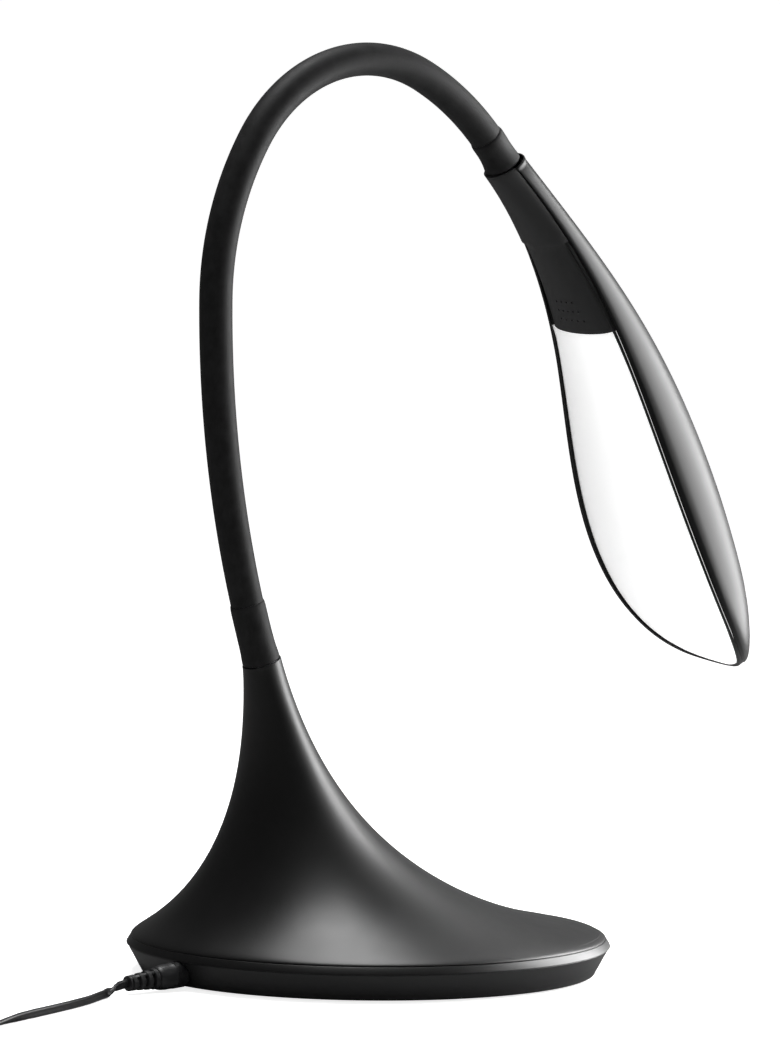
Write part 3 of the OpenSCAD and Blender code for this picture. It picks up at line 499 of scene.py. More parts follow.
plasticColumns = ("colour", "roughness", "specular", "grainScale", "driftScale",
                  "dust", "handling", "bump", "grainDepth")
plasticFinishes = {
    "satinBlack": ((0.003, 0.003, 0.0032), 0.39, 0.6, 2600, 14, 0.2, 0.5, 0.1, 0.03),
    "headSatin": ((0.0035, 0.0035, 0.0037), 0.38, 0.27, 2600, 14, 0.15, 0.5, 0.1, 0.03),
    # polished edge: real lower roughness, and a grey colour that is a painted highlight on the black
    # plastic
    "polishedPaintedGlint": ((0.22, 0.22, 0.222), 0.26, 0.7, 4000, 30, 0.0, 0.5, 0.03, 0.01),
    "litEdge": ((0.14, 0.14, 0.141), 0.35, 0.5, 4000, 30, 0.0, 0.5, 0.03, 0.01),
    "glossBevel": ((0.004, 0.004, 0.0042), 0.2, 0.6, 4000, 20, 0.1, 0.6, 0.03, 0.01),
    "trayBlack": ((0.013, 0.013, 0.0135), 0.46, 0.5, 1900, 18, 0.15, 0.3, 0.35, 0.05),
    "matteBlack": ((0.0035, 0.0035, 0.0037), 0.5, 0.3, 1900, 18, 0.15, 0.3, 0.35, 0.05),
    "coverBlack": ((0.02, 0.02, 0.0205), 0.5, 0.25, 1900, 18, 0.1, 0.3, 0.3, 0.05),
    "plugRubber": ((0.014, 0.014, 0.015), 0.42, 0.4, 2200, 60, 0.3, 0.6, 0.25, 0.04),
    "cordJacket": ((0.012, 0.012, 0.013), 0.36, 0.4, 1500, 40, 0.3, 0.4, 0.12, 0.05),
    "padRubber": ((0.022, 0.022, 0.022), 0.75, 0.3, 1300, 30, 0.5, 0.1, 0.5, 0.08),
    "jackPlastic": ((0.014, 0.014, 0.014), 0.45, 0.4, 2500, 40, 0.1, 0.2, 0.2, 0.03),
    "componentPlastic": ((0.03, 0.032, 0.045), 0.35, 0.5, 2500, 90, 0.1, 0.1, 0.2, 0.03),
    "whiteBoard": ((0.82, 0.82, 0.8), 0.4, 0.5, 1500, 60, 0.1, 0.2, 0.1, 0.03),
    "ledPhosphor": ((0.85, 0.68, 0.2), 0.5, 0.4, 3500, 200, 0.0, 0.0, 0.3, 0.03),
}
metalColumns = ("colour", "roughness", "scale", "stretch")
metalFinishes = {
    "turnedSteel": ((0.5, 0.51, 0.53), 0.34, 900, 0.05),
    "screwSteel": ((0.58, 0.58, 0.6), 0.3, 2500, 1.0),
    "plainBrass": ((0.72, 0.52, 0.2), 0.28, 1500, 0.2),
    "nickelBarrel": ((0.75, 0.74, 0.72), 0.18, 2500, 0.3),
    "rolledAluminium": ((0.76, 0.77, 0.78), 0.36, 1400, 0.02),
}
finishes = {}
for name, row in plasticFinishes.items():
    finishes[name] = makePlastic(name, dict(zip(plasticColumns, row)))
for name, row in metalFinishes.items():
    finishes[name] = makeMetal(name, dict(zip(metalColumns, row)))


def makeSleeveRubber(name, f):  # silicone with a faint mottle that follows the hose underneath
    material, tree, shader, coords = newMaterial(
        name, f["colour"], f["roughness"], Specular_IOR_Level=f["specular"],
        Sheen_Weight=f["sheen"], Sheen_Roughness=0.5)
    grain = placeGroup(tree, grainGroup, coords, Grain_Scale=1500, Drift_Scale=26)
    dust = placeGroup(tree, dustGroup, coords, Amount=f["dust"], Scale=1100)
    mottle = newNoise(tree, coords, 210, 4, 0.6)
    height = newMath(tree, "MULTIPLY_ADD", mottle, f["mottle"], grain.outputs["Height"])
    addBump(tree, shader, height, f["bump"], 0.09 * mm)
    base = mixColours(tree, mapRange(tree, mottle, 0.35, 0.65, 0, 1),
                      [c * 0.75 for c in f["colour"]], [c * 1.3 for c in f["colour"]])
    wire(tree, (addDust(tree, dust, base, (0.2, 0.2, 0.19)), shader.inputs["Base Color"]),
         (mapRange(tree, mottle, 0.3, 0.7, f["roughness"] - 0.05, f["roughness"] + 0.05),
          shader.inputs["Roughness"]))
    return material


finishes["sleeveRubber"] = makeSleeveRubber(
    "sleeveRubber", dict(colour=(0.009, 0.009, 0.0093), roughness=0.58, specular=0.18, sheen=0.01,
                         dust=0.25, mottle=1.2, bump=0.35))


def makeOpal(name, f):  # lit diffuser, with painted shade: its glow is dimmer towards one side
    material, tree, shader, coords = newMaterial(
        name, f["colour"], f["roughness"], Specular_IOR_Level=0.4)
    shader.inputs["Emission Strength"].default_value = f["glow"]
    haze = newNoise(tree, coords, 35, 2)
    fine = newNoise(tree, coords, 2400, 2)
    # painted shade: this attribute swaps the glow for a dimmer one on one side
    rim = tree.nodes.new("ShaderNodeAttribute")
    rim.attribute_name = "paintedSideShade"
    glow = mixColours(tree, rim.outputs["Fac"], f["glowMiddle"], f["glowPaintedShade"])
    wire(tree, (mixColours(tree, haze, f["colour"], f["hazeColour"]), shader.inputs["Base Color"]),
         (glow, shader.inputs["Emission Color"]))
    addBump(tree, shader, fine, 0.08, 0.02 * mm)
    return material


finishes["opalPlastic"] = makeOpal(
    "opalPlastic", dict(colour=(0.82, 0.82, 0.82), hazeColour=(0.78, 0.78, 0.78), roughness=0.42,
                        glow=1.0, glowMiddle=(0.56, 0.56, 0.56), glowPaintedShade=(0.27, 0.27, 0.27)))


def makeWireInsulation(name, redSide):
    material, tree, shader, coords = newMaterial(name, (0.2, 0.02, 0.02), 0.35)
    grain = placeGroup(tree, grainGroup, coords, Grain_Scale=2500, Drift_Scale=80)
    split = tree.nodes.new("ShaderNodeSeparateXYZ")
    wire(tree, (coords, split.inputs[0]))
    isRed = mapRange(tree, split.outputs["Y"], -0.00005, 0.00005, 1 - redSide, redSide)
    wire(tree, (mixColours(tree, isRed, (0.012, 0.012, 0.013), (0.42, 0.02, 0.015)),
                shader.inputs["Base Color"]))
    addBump(tree, shader, grain.outputs["Height"], 0.15, 0.02 * mm)
    return material


finishes["wires"] = makeWireInsulation("wires", 1)
finishes["headWires"] = makeWireInsulation("headWires", 0)


def makeCircuitBoard(name):
    material, tree, shader, coords = newMaterial(name, (0.02, 0.14, 0.06), 0.32)
    traces = tree.nodes.new("ShaderNodeTexBrick")
    traces.inputs["Scale"].default_value = 260
    traces.inputs["Mortar Size"].default_value = 0.06
    traces.inputs["Color1"].default_value = (0.016, 0.12, 0.05, 1)
    traces.inputs["Color2"].default_value = (0.02, 0.15, 0.065, 1)
    traces.inputs["Mortar"].default_value = (0.04, 0.26, 0.1, 1)
    wire(tree, (coords, traces.inputs["Vector"]), (traces.outputs["Color"], shader.inputs["Base Color"]))
    addBump(tree, shader, traces.outputs["Fac"], 0.3, 0.03 * mm)
    return material


finishes["circuitBoard"] = makeCircuitBoard("circuitBoard")

slotFinish = {
    "satin_black_plastic": "satinBlack", "matte_black_plastic": "matteBlack",
    "silicone_sleeve": "sleeveRubber", "rubber_pad": "padRubber", "plug_rubber": "plugRubber",
    "cord_jacket": "cordJacket", "steel": "turnedSteel", "screw_steel": "screwSteel",
    "brass": "plainBrass", "plated_barrel": "nickelBarrel", "jack_plastic": "jackPlastic",
    "wire_insulation": "wires", "circuit_board": "circuitBoard",
    "component_plastic": "componentPlastic", "opal_plastic": "opalPlastic",
    "white_board": "whiteBoard", "led_phosphor": "ledPhosphor", "aluminium_sheet": "rolledAluminium",
}


def dress(piece, *names):
    piece.data.materials.clear()
    for name in names:
        piece.data.materials.append(finishes[name])


def enter(piece, body, slot, *labels):  # the piece moves with a body and stands for these CAD nodes
    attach(piece, body)
    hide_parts(*labels)


def finishNodes():  # the CAD nodes that stay as they are get the finish of their slot
    for part in frame["record"]["subparts"]:
        dress(nodes[part["node"]], slotFinish[part["material_slot"]])
    dress(nodes["head_wires"], "headWires")


finishNodes()
print("materials ready")


cordPlan = {
    "width": 3.7, "thickness": 1.9,
    "lead": [(-121.35, 0, 4.49), (-125, -0.4, 4.1), (-130.5, -1.8, 2.9), (-137, -5.4, 1.55),
             (-144, -10, 1.05), (-152, -15, 1.05), (-162, -20, 1.05), (-174, -25.5, 1.05),
             (-187, -31, 1.05), (-201, -37, 1.05), (-216, -43.5, 1.05), (-232, -51, 1.05)],
    "rollStart": 96, "rollAfterTwist": 270, "twistAt": (3.0, 16.0),  # degrees, mm along the lead
    "flatAt": (75, 120),
    "coilCentre": (-266, -33), "outerTurn": 30.5, "innerTurn": 13.3, "turns": 4.5,
    "lowerZ": 1.05, "upperZ": 3.24, "arriveAt": -63.4, "leaveAt": -90,
    "tail": [(-276, -63.7, 2.1), (-285, -63.5, 2.05), (-295, -63.5, 5.5), (-304, -63.5, 11.5),
             (-310, -63.5, 13.9), (-313.7, -63.5, 14), (-318.5, -63.5, 14)],
    "pointsPerTurn": 30,
}


def cordRoute(c):
    route = [Vector(p) for p in c["lead"]]
    centre = Vector((*c["coilCentre"], 0))

    def turnPoint(angle, radius, z):
        a = math.radians(angle)
        return centre + Vector((radius * math.cos(a), radius * math.sin(a), z))

    steps = int(c["turns"] * c["pointsPerTurn"])
    start = c["arriveAt"]
    spiralled = c["turns"] * 360
    for i in range(steps + 1):  # clockwise, winding in along the lower layer
        t = i / steps
        radius = c["outerTurn"] + (c["innerTurn"] - c["outerTurn"]) * t
        route.append(turnPoint(start - spiralled * t, radius, c["lowerZ"]))
    middle = start - spiralled
    rest = (middle - c["leaveAt"]) % 360 + 360 * 4
    steps = int(rest / 360 * c["pointsPerTurn"])
    for i in range(1, steps + 1):  # then out again along the upper layer
        t = i / steps
        radius = c["innerTurn"] + (c["outerTurn"] - c["innerTurn"]) * t
        z = c["lowerZ"] + (c["upperZ"] - c["lowerZ"]) * min(1, t * 9)
        route.append(turnPoint(middle - rest * t, radius, z))
    route += [Vector(p) for p in c["tail"]]
    return smoothRoute(route, 1.6)


def smoothRoute(points, gap):  # even steps along a smooth line through given points
    dense = []
    for k in range(len(points) - 1):
        a, b = points[max(k - 1, 0)], points[k]
        c, d = points[k + 1], points[min(k + 2, len(points) - 1)]
        n = max(2, int((c - b).length / gap * 2))
        for i in range(n):
            t = i / n
            dense.append(0.5 * (2 * b + (c - a) * t + (2 * a - 5 * b + 4 * c - d) * t * t
                                + (3 * b - a - 3 * c + d) * t ** 3))
    dense.append(points[-1])
    even, walked = [dense[0]], 0.0
    for a, b in zip(dense, dense[1:]):
        walked += (b - a).length
        if walked >= gap:
            even.append(b)
            walked = 0.0
    even.append(dense[-1])
    return even


def cordSection(c, around=7):  # outline of a figure-eight lead: two round cores and the web between
    strand = c["thickness"] / 2
    offset = c["width"] / 2 - strand
    outline = []
    for side in (1, -1):
        for i in range(around):
            a = math.radians(-128 + 256 * i / (around - 1))
            outline.append((side * (offset + strand * math.cos(a)), side * strand * math.sin(a)))
    return outline


def ramp(x, low, high):
    t = min(1, max(0, (x - low) / (high - low)))
    return t * t * (3 - 2 * t)


def makeCord(c):
    route = cordRoute(c)
    outline = cordSection(c)
    points, faces, coords, along = [], [], [], 0.0
    count = len(outline)
    for k, here in enumerate(route):
        ahead = route[min(k + 1, len(route) - 1)] - route[max(k - 1, 0)]
        ahead.normalize()
        flat = ahead.cross(Vector((0, 0, 1))).normalized()
        over = flat.cross(ahead).normalized()
        if k:
            along += (here.xy - route[k - 1].xy).length
        roll = c["rollStart"] + (c["rollAfterTwist"] - c["rollStart"]) * ramp(along, *c["twistAt"])
        roll += (360 - c["rollAfterTwist"]) * ramp(along, *c["flatAt"])
        roll = math.radians(roll)
        rest = c["thickness"] / 2 + (c["width"] - c["thickness"]) / 2 * abs(math.sin(roll)) + 0.1
        here.z = max(here.z, rest)  # a lead on its edge rides higher
        wide = flat * math.cos(roll) + over * math.sin(roll)
        thin = over * math.cos(roll) - flat * math.sin(roll)
        points += [(here + wide * x + thin * y) * mm for x, y in outline]
        if k:
            a, b = (k - 1) * count, k * count
            faces += [(a + i, a + (i + 1) % count, b + (i + 1) % count, b + i) for i in range(count)]
    faces += [tuple(range(count))[::-1], tuple(range((len(route) - 1) * count, len(route) * count))]
    mesh = bpy.data.meshes.new("powerLead")
    mesh.from_pydata(points, [], faces)
    cord = bpy.data.objects.new("powerLead", mesh)
    bpy.context.scene.collection.objects.link(cord)
    turnOut(cord)
    smooth(cord, 50)
    dress(cord, "cordJacket")
    length = sum((b - a).length for a, b in zip(route, route[1:]))
    print("lead length", round(length), "mm")
    return cord, [p * mm for p in route], length * mm


powerLead, leadPath, leadLength = makeCord(cordPlan)


plugPlan = {
    "jack": (-93.83, 0, 6.4), "droop": 4.0,
    "gripRadius": 5.2, "gripLength": 13.2, "reliefLength": 14.0, "reliefRadius": 3.0,
    "knurlFrom": 0.9, "knurlTo": 5.6, "knurlRows": 6, "sides": 64,
    "ribs": 4, "coreRadius": 2.3, "webs": 3, "webSize": (1.7, 1.5),
}


def plugFrame(p):  # local Z runs out of the jack along the plug
    return (Matrix.Translation(Vector(p["jack"]) * mm)
            @ Matrix.Rotation(math.radians(-90 - p["droop"]), 4, "Y"))


def makePlugGrip(p):
    r = p["gripRadius"]
    profile = [(0.2, r - 1.2), (0.2, r - 0.4), (0.35, r - 0.12), (0.6, r)]
    row = (p["knurlTo"] - p["knurlFrom"]) / p["knurlRows"]
    profile += [(p["knurlFrom"] + row * i, r) for i in range(p["knurlRows"] + 1)]
    profile += [(6.0, r - 0.12), (8.6, r - 0.14), (9.6, r - 0.16), (11.5, r - 0.34), (12.8, r - 0.6),
                (p["gripLength"], r - 0.95)]
    grip = walkRings("plugGrip", straightRings(profile), p["sides"])
    closeHoles(grip)
    faceOutwards(grip, lambda q: Vector((0, 0, q.z)))

    def isPit(face):
        z = face.center.z / mm
        turn = math.degrees(math.atan2(face.center.y, face.center.x))
        return p["knurlFrom"] < z < p["knurlTo"] or (8.6 < z < 9.6 and 96 < turn < 102)

    editWhere(grip, "polygons", isPit)
    bpy.ops.mesh.inset(thickness=0.1 * mm, depth=0, use_individual=True)
    bpy.ops.mesh.inset(thickness=0.06 * mm, depth=-0.16 * mm, use_individual=True)
    endEdit()
    settle(grip, plugFrame(p))
    smooth(grip, 30)
    dress(grip, "plugRubber")
    return grip


def makePlugRelief(p):
    start = p["gripLength"]
    pitch = p["reliefLength"] / p["ribs"]
    top, end, core = p["gripRadius"] - 0.85, p["reliefRadius"], p["coreRadius"]
    profile = [(start + 0.02, core)]
    for i in range(p["ribs"]):
        z = start + i * pitch
        r = top + (end - top) * (i + 0.4) / p["ribs"]
        profile += [(z + 0.05, core), (z + 0.08, r - 0.25), (z + 0.3, r), (z + 0.56 * pitch, r - 0.08),
                    (z + 0.62 * pitch, r - 0.35), (z + 0.64 * pitch, core)]
    last = start + p["reliefLength"]
    profile += [(last - 0.7, core), (last - 0.65, end + 0.15), (last - 0.1, end + 0.1), (last, end - 0.3)]
    relief = walkRings("plugRelief", straightRings(profile), 48)
    closeHoles(relief)
    faceOutwards(relief, lambda q: Vector((0, 0, q.z)))
    webs = []
    for i in range(p["webs"]):  # bars that tie the ribs together
        web = addBlock("reliefWeb", (*p["webSize"], p["reliefLength"] - 0.8),
                       (core, 0, start + p["reliefLength"] / 2 - 0.3))
        for vertex in web.data.vertices:  # the bar tapers as the ribs do
            if vertex.co.x > core * mm:
                near = vertex.co.z < (start + p["reliefLength"] / 2) * mm
                vertex.co.x = (top - 0.3 if near else end - 0.15) * mm
        web.matrix_world = Matrix.Rotation(math.radians(90 + 120 * i), 4, "Z")
        settle(web)
        roundEdges(web, 0.25, 2)
        webs.append(web)
    relief = joinAll("plugRelief", [relief] + webs)
    settle(relief, plugFrame(p))
    smooth(relief, 35)
    dress(relief, "plugRubber")
    return relief


plugGrip = makePlugGrip(plugPlan)
plugRelief = makePlugRelief(plugPlan)
enter(plugGrip, "base", "plug_rubber", "plug_body")
enter(plugRelief, "base", "plug_rubber", "plug_relief")
print("plug made")


tiePlan = {"centre": (-266, -33), "angle": 150, "inner": 9.8, "outer": 30.1, "width": 7.0,
           "top": 7.1, "strap": 0.9, "bend": 2.6, "flapLength": 11, "flapAt": 20}


def makeCoilTie(p):
    middle = (p["inner"] + p["outer"]) / 2
    tie = addBlock("coilTie", (p["outer"] - p["inner"], p["width"], p["top"]), (middle, 0, p["top"] / 2))
    editWhere(tie, "polygons", lambda f: abs(f.normal.y) > 0.9)
    bpy.ops.mesh.delete(type="ONLY_FACE")
    endEdit()
    editWhere(tie, "edges", lambda e: abs(span(tie, e).y) > mm)
    bpy.ops.mesh.bevel(offset=p["bend"] * mm, segments=6, affect="EDGES")
    endEdit()
    faceOutwards(tie, lambda q: Vector((middle * mm, q.y, p["top"] / 2 * mm)))
    giveWall(tie, p["strap"])
    # the strap's loose end, laid back over itself
    flap = addBlock("tieFlap", (p["flapLength"], p["width"], p["strap"]),
                    (p["flapAt"], 0, p["top"] + p["strap"] / 2 - 0.02))
    startEdit()
    bpy.ops.mesh.subdivide(number_cuts=3)
    endEdit()
    tie = joinAll("coilTie", [tie, flap])
    roundEdges(tie, 0.2, 2)
    settle(tie, Matrix.Translation((p["centre"][0] * mm, p["centre"][1] * mm, 0))
           @ Matrix.Rotation(math.radians(p["angle"]), 4, "Z"))
    smooth(tie, 35)
    dress(tie, "matteBlack")
    return tie


coilTie = makeCoilTie(tiePlan)
enter(coilTie, "base", "matte_black_plastic", "coil_tie")

adapterPlan = {"start": (-322, -63.5, 14), "size": (28, 42, 62), "corner": 4.0, "edge": 1.2,
               "seamAt": 34, "seamWidth": 0.6, "seamDepth": 0.35, "bootFoot": 4.2,
               "bootTip": 2.6, "bootLength": 7.9}


def adapterFrame(p):  # local Z runs from the cord towards the prongs, local X is up
    return Matrix.Translation(Vector(p["start"]) * mm) @ Matrix.Rotation(math.radians(-90), 4, "Y")


def makeAdapter(p):
    high, wide, long = p["size"]
    case = addBlock("wallAdapter", (high, wide, long), (0, 0, long / 2))
    startEdit()
    seamEnd = p["seamAt"] + p["seamWidth"]
    for cut in (p["seamAt"], seamEnd):
        bpy.ops.mesh.select_all(action="SELECT")
        bpy.ops.mesh.bisect(plane_co=(0, 0, cut * mm), plane_no=(0, 0, 1))
    endEdit()
    editWhere(case, "edges", lambda e: abs(span(case, e).z) > 0.1 * mm)
    bpy.ops.mesh.bevel(offset=p["corner"] * mm, segments=7, affect="EDGES")
    endEdit()
    # the joint between the case's two halves
    editWhere(case, "polygons", lambda f: p["seamAt"] < f.center.z / mm < seamEnd
              and abs(f.normal.z) < 0.5)
    bpy.ops.mesh.inset(thickness=0.02 * mm, depth=-p["seamDepth"] * mm, use_even_offset=True)
    endEdit()
    roundEdges(case, p["edge"], 3, 60)
    boot = walkRings("adapterBoot", straightRings(
        [(-p["bootLength"], p["bootTip"] - 0.3), (-p["bootLength"] + 0.3, p["bootTip"]),
         (-6.4, p["bootTip"] + 0.25), (-6.2, p["bootTip"]), (-5.6, p["bootTip"]),
         (-5.4, p["bootTip"] + 0.5), (-4.2, p["bootTip"] + 0.7), (-4.0, p["bootTip"] + 0.35),
         (-3.4, p["bootTip"] + 0.35), (-3.2, p["bootTip"] + 0.95), (-1.2, p["bootFoot"] - 0.1),
         (0.3, p["bootFoot"])]), 40, "NGON")
    closeHoles(boot)
    faceOutwards(boot, lambda q: Vector((0, 0, q.z)))
    case = joinAll("wallAdapter", [case, boot])
    settle(case, adapterFrame(p))
    smooth(case, 32)
    dress(case, "satinBlack")
    return case


wallAdapter = makeAdapter(adapterPlan)
enter(wallAdapter, "base", "satin_black_plastic", "adapter_body")
enter(powerLead, "base", "cord_jacket", "cord_lead", "cord_coil", "cord_tail")
print("cord, tie and adapter made")


baseShell = {
    "front": [(-48.04, 130.90), (-37.88, 101.72), (-18.6, 18.2), (89.9, 22.1), (95, 15)],
    "rear": [(-62.96, 125.70), (-61.97, 122.87), (-45.8, 40.6), (-93, 20.6), (-95, 15)],
    "edgeRadius": 95.0, "edgeHeight": 15.0, "rimRadius": 96.8, "rimHeight": 11.7,
    "shadowLine": 0.35, "wall": 2.2, "sides": 144, "rings": 56, "mouthHeight": 124,
}


def shellRings(s):
    rings = []
    for i in range(s["rings"] + 1):
        t = i / s["rings"]
        front, rear = onCurve(s["front"], t), onCurve(s["rear"], t)
        across = front - rear
        middle = (front + rear) / 2
        rings.append(((middle.x, 0, middle.y), math.degrees(math.atan2(across.y, across.x)),
                      across.length / 2))
    return rings


def makeBaseShell(s):
    rings = shellRings(s)
    z, line = s["edgeHeight"], s["shadowLine"]
    rings[-1] = ((0, 0, z), 0, s["edgeRadius"])
    rings += [((0, 0, z - 0.1), 0, s["edgeRadius"] - line), ((0, 0, z - line), 0, s["edgeRadius"] - line),
              ((0, 0, z - line - 0.05), 0, s["edgeRadius"] + 0.12),
              ((0, 0, s["rimHeight"] + 0.35), 0, s["rimRadius"] - 0.12),
              ((0, 0, s["rimHeight"]), 0, s["rimRadius"])]
    shell = walkRings("baseShell", rings, s["sides"])
    middle = [Vector(ring[0]) * mm for ring in rings]
    faceOutwards(shell, lambda q: min(middle, key=lambda c: abs(c.z - q.z)))
    giveWall(shell, s["wall"])
    roundEdges(shell, 0.3, 3, 50)
    for face in shell.data.polygons:  # the bevelled band round the rim is polished
        out = math.hypot(face.center.x, face.center.y)
        band = (s["rimHeight"] - 0.1) * mm < face.center.z < (z - line) * mm
        face.material_index = 1 if band and out > (s["edgeRadius"] - 0.6) * mm else 0
        # the mouth's rim faces get the polished finish with its painted glint
        if face.center.z > s["mouthHeight"] * mm and abs(face.normal.z) > 0.3:
            face.material_index = 2
    smooth(shell, 30)
    dress(shell, "satinBlack", "glossBevel", "polishedPaintedGlint")
    return shell


enter(makeBaseShell(baseShell), "base", "satin_black_plastic", "base_shell")

baseTray = {
    "profile": [(1.6, 77.3), (0.8, 77.3), (0.8, 90.2), (1.1, 90.75), (1.7, 91.0), (4.0, 92.3),
                (7.6, 94.27), (11.3, 96.3), (11.6, 96.22), (11.7, 95.9), (11.7, 93.5), (3.8, 88.2)],
    "screwCircle": 79.8, "screwAngles": (45, 135, 225, 315), "headHole": 2.7, "headSeat": 2.8,
    "jackHole": 4.15, "gripGap": 0.25,  # round the plug's barrel and its grip
}
antislipPad = {"radius": 77.0, "thickness": 1.6, "ribs": 9, "ribStart": 20.0, "ribPitch": 6.0,
               "ribDepth": 0.5}


def makeTray(p, plug):
    tray = walkRings("baseTray", straightRings(p["profile"]), 144)
    closeHoles(tray)
    turnOut(tray)
    cutters = []
    for angle in p["screwAngles"]:
        a = math.radians(angle)
        x, y = p["screwCircle"] * math.cos(a), p["screwCircle"] * math.sin(a)
        cutters.append(addCylinder(p["headHole"], p["headSeat"] + 2, (x, y, p["headSeat"] / 2 - 1),
                                   sides=24))
    for radius, depth, along in ((p["jackHole"], 16, -1), (plug["gripRadius"] + p["gripGap"], 8, 4.1)):
        cutters.append(addCylinder(radius, depth, (0, 0, along)))
        cutters[-1].matrix_world = plugFrame(plug) @ cutters[-1].matrix_world
    for cutter in cutters:
        cutWith(tray, cutter)
    roundEdges(tray, 0.12, 2, 60)
    smooth(tray, 30)
    dress(tray, "trayBlack")
    return tray


def makePad(p):
    top, r, d = p["thickness"], p["radius"], p["ribDepth"]
    profile = [(top, r - 0.2), (top - 0.2, r), (0.3, r), (0.08, r - 0.08), (0, r - 0.3)]
    for i in range(p["ribs"], -1, -1):
        inner = p["ribStart"] + p["ribPitch"] * i
        profile += [(0, inner), (d, inner - 0.3), (d, inner - 2.0), (0, inner - 2.3)]
    pad = walkRings("antislipPad", straightRings(profile), 96)
    closeHoles(pad)
    turnOut(pad)
    smooth(pad, 30)
    dress(pad, "padRubber")
    return pad


enter(makeTray(baseTray, plugPlan), "base", "matte_black_plastic", "base_tray")
enter(makePad(antislipPad), "base", "rubber_pad", "antislip_pad")
print("base made")


neckPlan = {
    "mouth": (-55.5, 128.3), "lean": 19.2,
    "arcs": [(440, 19.2), (116.5, 33), (64.5, 84.8), (116.5, 27.8)],  # mm, degrees
    "sleeveRadius": 6.6, "sleeveWall": 1.1, "lowerCuff": 25.0, "upperCuff": 15.0,
    "cuffWall": 1.2, "foldLength": 17.0, "ringStep": 2.2,
    "wireRadius": 0.5, "wireApart": 0.75, "wireGap": 0.2, "wireFold": 4.0,
}


def neckArcs(p):
    arcs, s, heading = [], 0.0, 90 + p["lean"]
    point = Vector(p["mouth"])
    for radius, angle in p["arcs"]:
        inward = math.radians(heading - 90)
        centre = point + radius * Vector((math.cos(inward), math.sin(inward)))
        arcs.append({"start": s, "radius": radius, "angle": angle, "heading": heading, "centre": centre})
        s += radius * math.radians(angle)
        heading -= angle
        outward = math.radians(heading + 90)
        point = centre + radius * Vector((math.cos(outward), math.sin(outward)))
    return arcs, s, point, heading


arcs, neckLength, neckEnd, endHeading = neckArcs(neckPlan)


def neckAt(s):  # place and heading at a distance along the neck
    if s <= 0:
        a = math.radians(90 + neckPlan["lean"])
        return Vector(neckPlan["mouth"]) + s * Vector((math.cos(a), math.sin(a))), 90 + neckPlan["lean"]
    if s >= neckLength:
        a = math.radians(endHeading)
        return neckEnd + (s - neckLength) * Vector((math.cos(a), math.sin(a))), endHeading
    arc = [k for k in arcs if k["start"] <= s][-1]
    heading = arc["heading"] - math.degrees((s - arc["start"]) / arc["radius"])
    a = math.radians(heading + 90)
    return arc["centre"] + arc["radius"] * Vector((math.cos(a), math.sin(a))), heading


def neckRing(s, radius):
    place, heading = neckAt(s)
    return (place.x, 0, place.y), heading - 90, radius


def neckMiddle(q):  # nearest point of the neck's line
    best = min(range(0, 400, 4), key=lambda s: (neckPoint(s) - q).length)
    return neckPoint(min((best + d * 0.5 for d in range(-8, 9)), key=lambda s: (neckPoint(s) - q).length))


def neckPoint(s):
    place = neckAt(s)[0]
    return Vector((place.x, 0, place.y)) * mm


starts = [arc["start"] for arc in arcs] + [neckLength]
sleeveEnds = [neckPlan["lowerCuff"], (neckPlan["lowerCuff"] + starts[1]) / 2, starts[1], starts[2],
              (starts[2] + starts[3]) / 2, starts[3], neckLength - neckPlan["upperCuff"]]


def spinTube(name, first, last, radius, side, sides):  # along one arc of the neck, or beside it
    arc = [a for a in arcs if a["start"] <= first + 0.01][-1]
    (x, y, z), lean, radius = neckRing(first, radius)
    turn = (last - first) / arc["radius"]
    steps = max(6, round((last - first) / neckPlan["ringStep"]))
    deselectAll()
    bpy.ops.mesh.primitive_circle_add(vertices=sides, radius=radius * mm,
                                      location=Vector((x, side, z)) * mm,
                                      rotation=(0, -math.radians(lean), 0))
    startEdit()
    bpy.ops.mesh.spin(steps=steps, angle=-turn, axis=(0, 1, 0),
                      center=Vector((arc["centre"].x, 0, arc["centre"].y)) * mm)
    endEdit()
    tube = namePiece(name)
    settle(tube)
    return tube


def makeNeckWires(k):  # the red and the black wire across one hinge of the hose
    first = sleeveEnds[k] if k else neckPlan["wireGap"]
    last = sleeveEnds[k + 1] if k < 5 else neckLength - neckPlan["wireGap"]
    strands = []
    for side in (1, -1):
        strand = spinTube("wire", first, last, neckPlan["wireRadius"], side * neckPlan["wireApart"], 12)
        closeHoles(strand)
        turnOut(strand)
        strands.append(strand)
    wires = joinAll(f"neckWires{k + 1}", strands)
    smooth(wires, 40)
    dress(wires, "wires")
    return wires


def makeSleeve(k):
    sleeve = spinTube(f"sleeve{k + 1}", sleeveEnds[k], sleeveEnds[k + 1], neckPlan["sleeveRadius"], 0, 56)
    faceOutwards(sleeve, neckMiddle)
    giveWall(sleeve, neckPlan["sleeveWall"])
    smooth(sleeve, 40)
    dress(sleeve, "sleeveRubber")
    return sleeve


wireNodes = [1, 1, 2, 3, 3, 4]  # the node that holds each hinge's stretch of wire
for k in range(6):
    for piece, fold, slot, label in (
            (makeSleeve(k), neckPlan["foldLength"], "silicone_sleeve", f"sleeve_{k + 1}"),
            (makeNeckWires(k), neckPlan["wireFold"], "wire_insulation", f"neck_wires_{wireNodes[k]}")):
        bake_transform(piece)
        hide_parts(label)

# (distance from the neck's end, radius)
lowerCuffProfile = [(0.25, 6.9), (0.25, 7.2), (0.35, 7.42), (0.6, 7.55), (1.0, 7.6), (2.5, 7.52),
                    (5, 7.3), (8, 7.18), (12, 7.13), (17, 7.1), (21, 7.1), (23, 7.08), (24.2, 6.98),
                    (24.8, 6.82), (25.0, 6.62)]
upperCuffProfile = [(15.0, 6.62), (14.7, 6.85), (14.1, 7.02), (13.2, 7.1), (11, 7.06), (8.5, 7.02),
                    (6, 7.08), (4.5, 7.2), (3, 7.38), (1.6, 7.58), (0.9, 7.66), (0.5, 7.6), (0.25, 7.4),
                    (0.25, 6.9)]


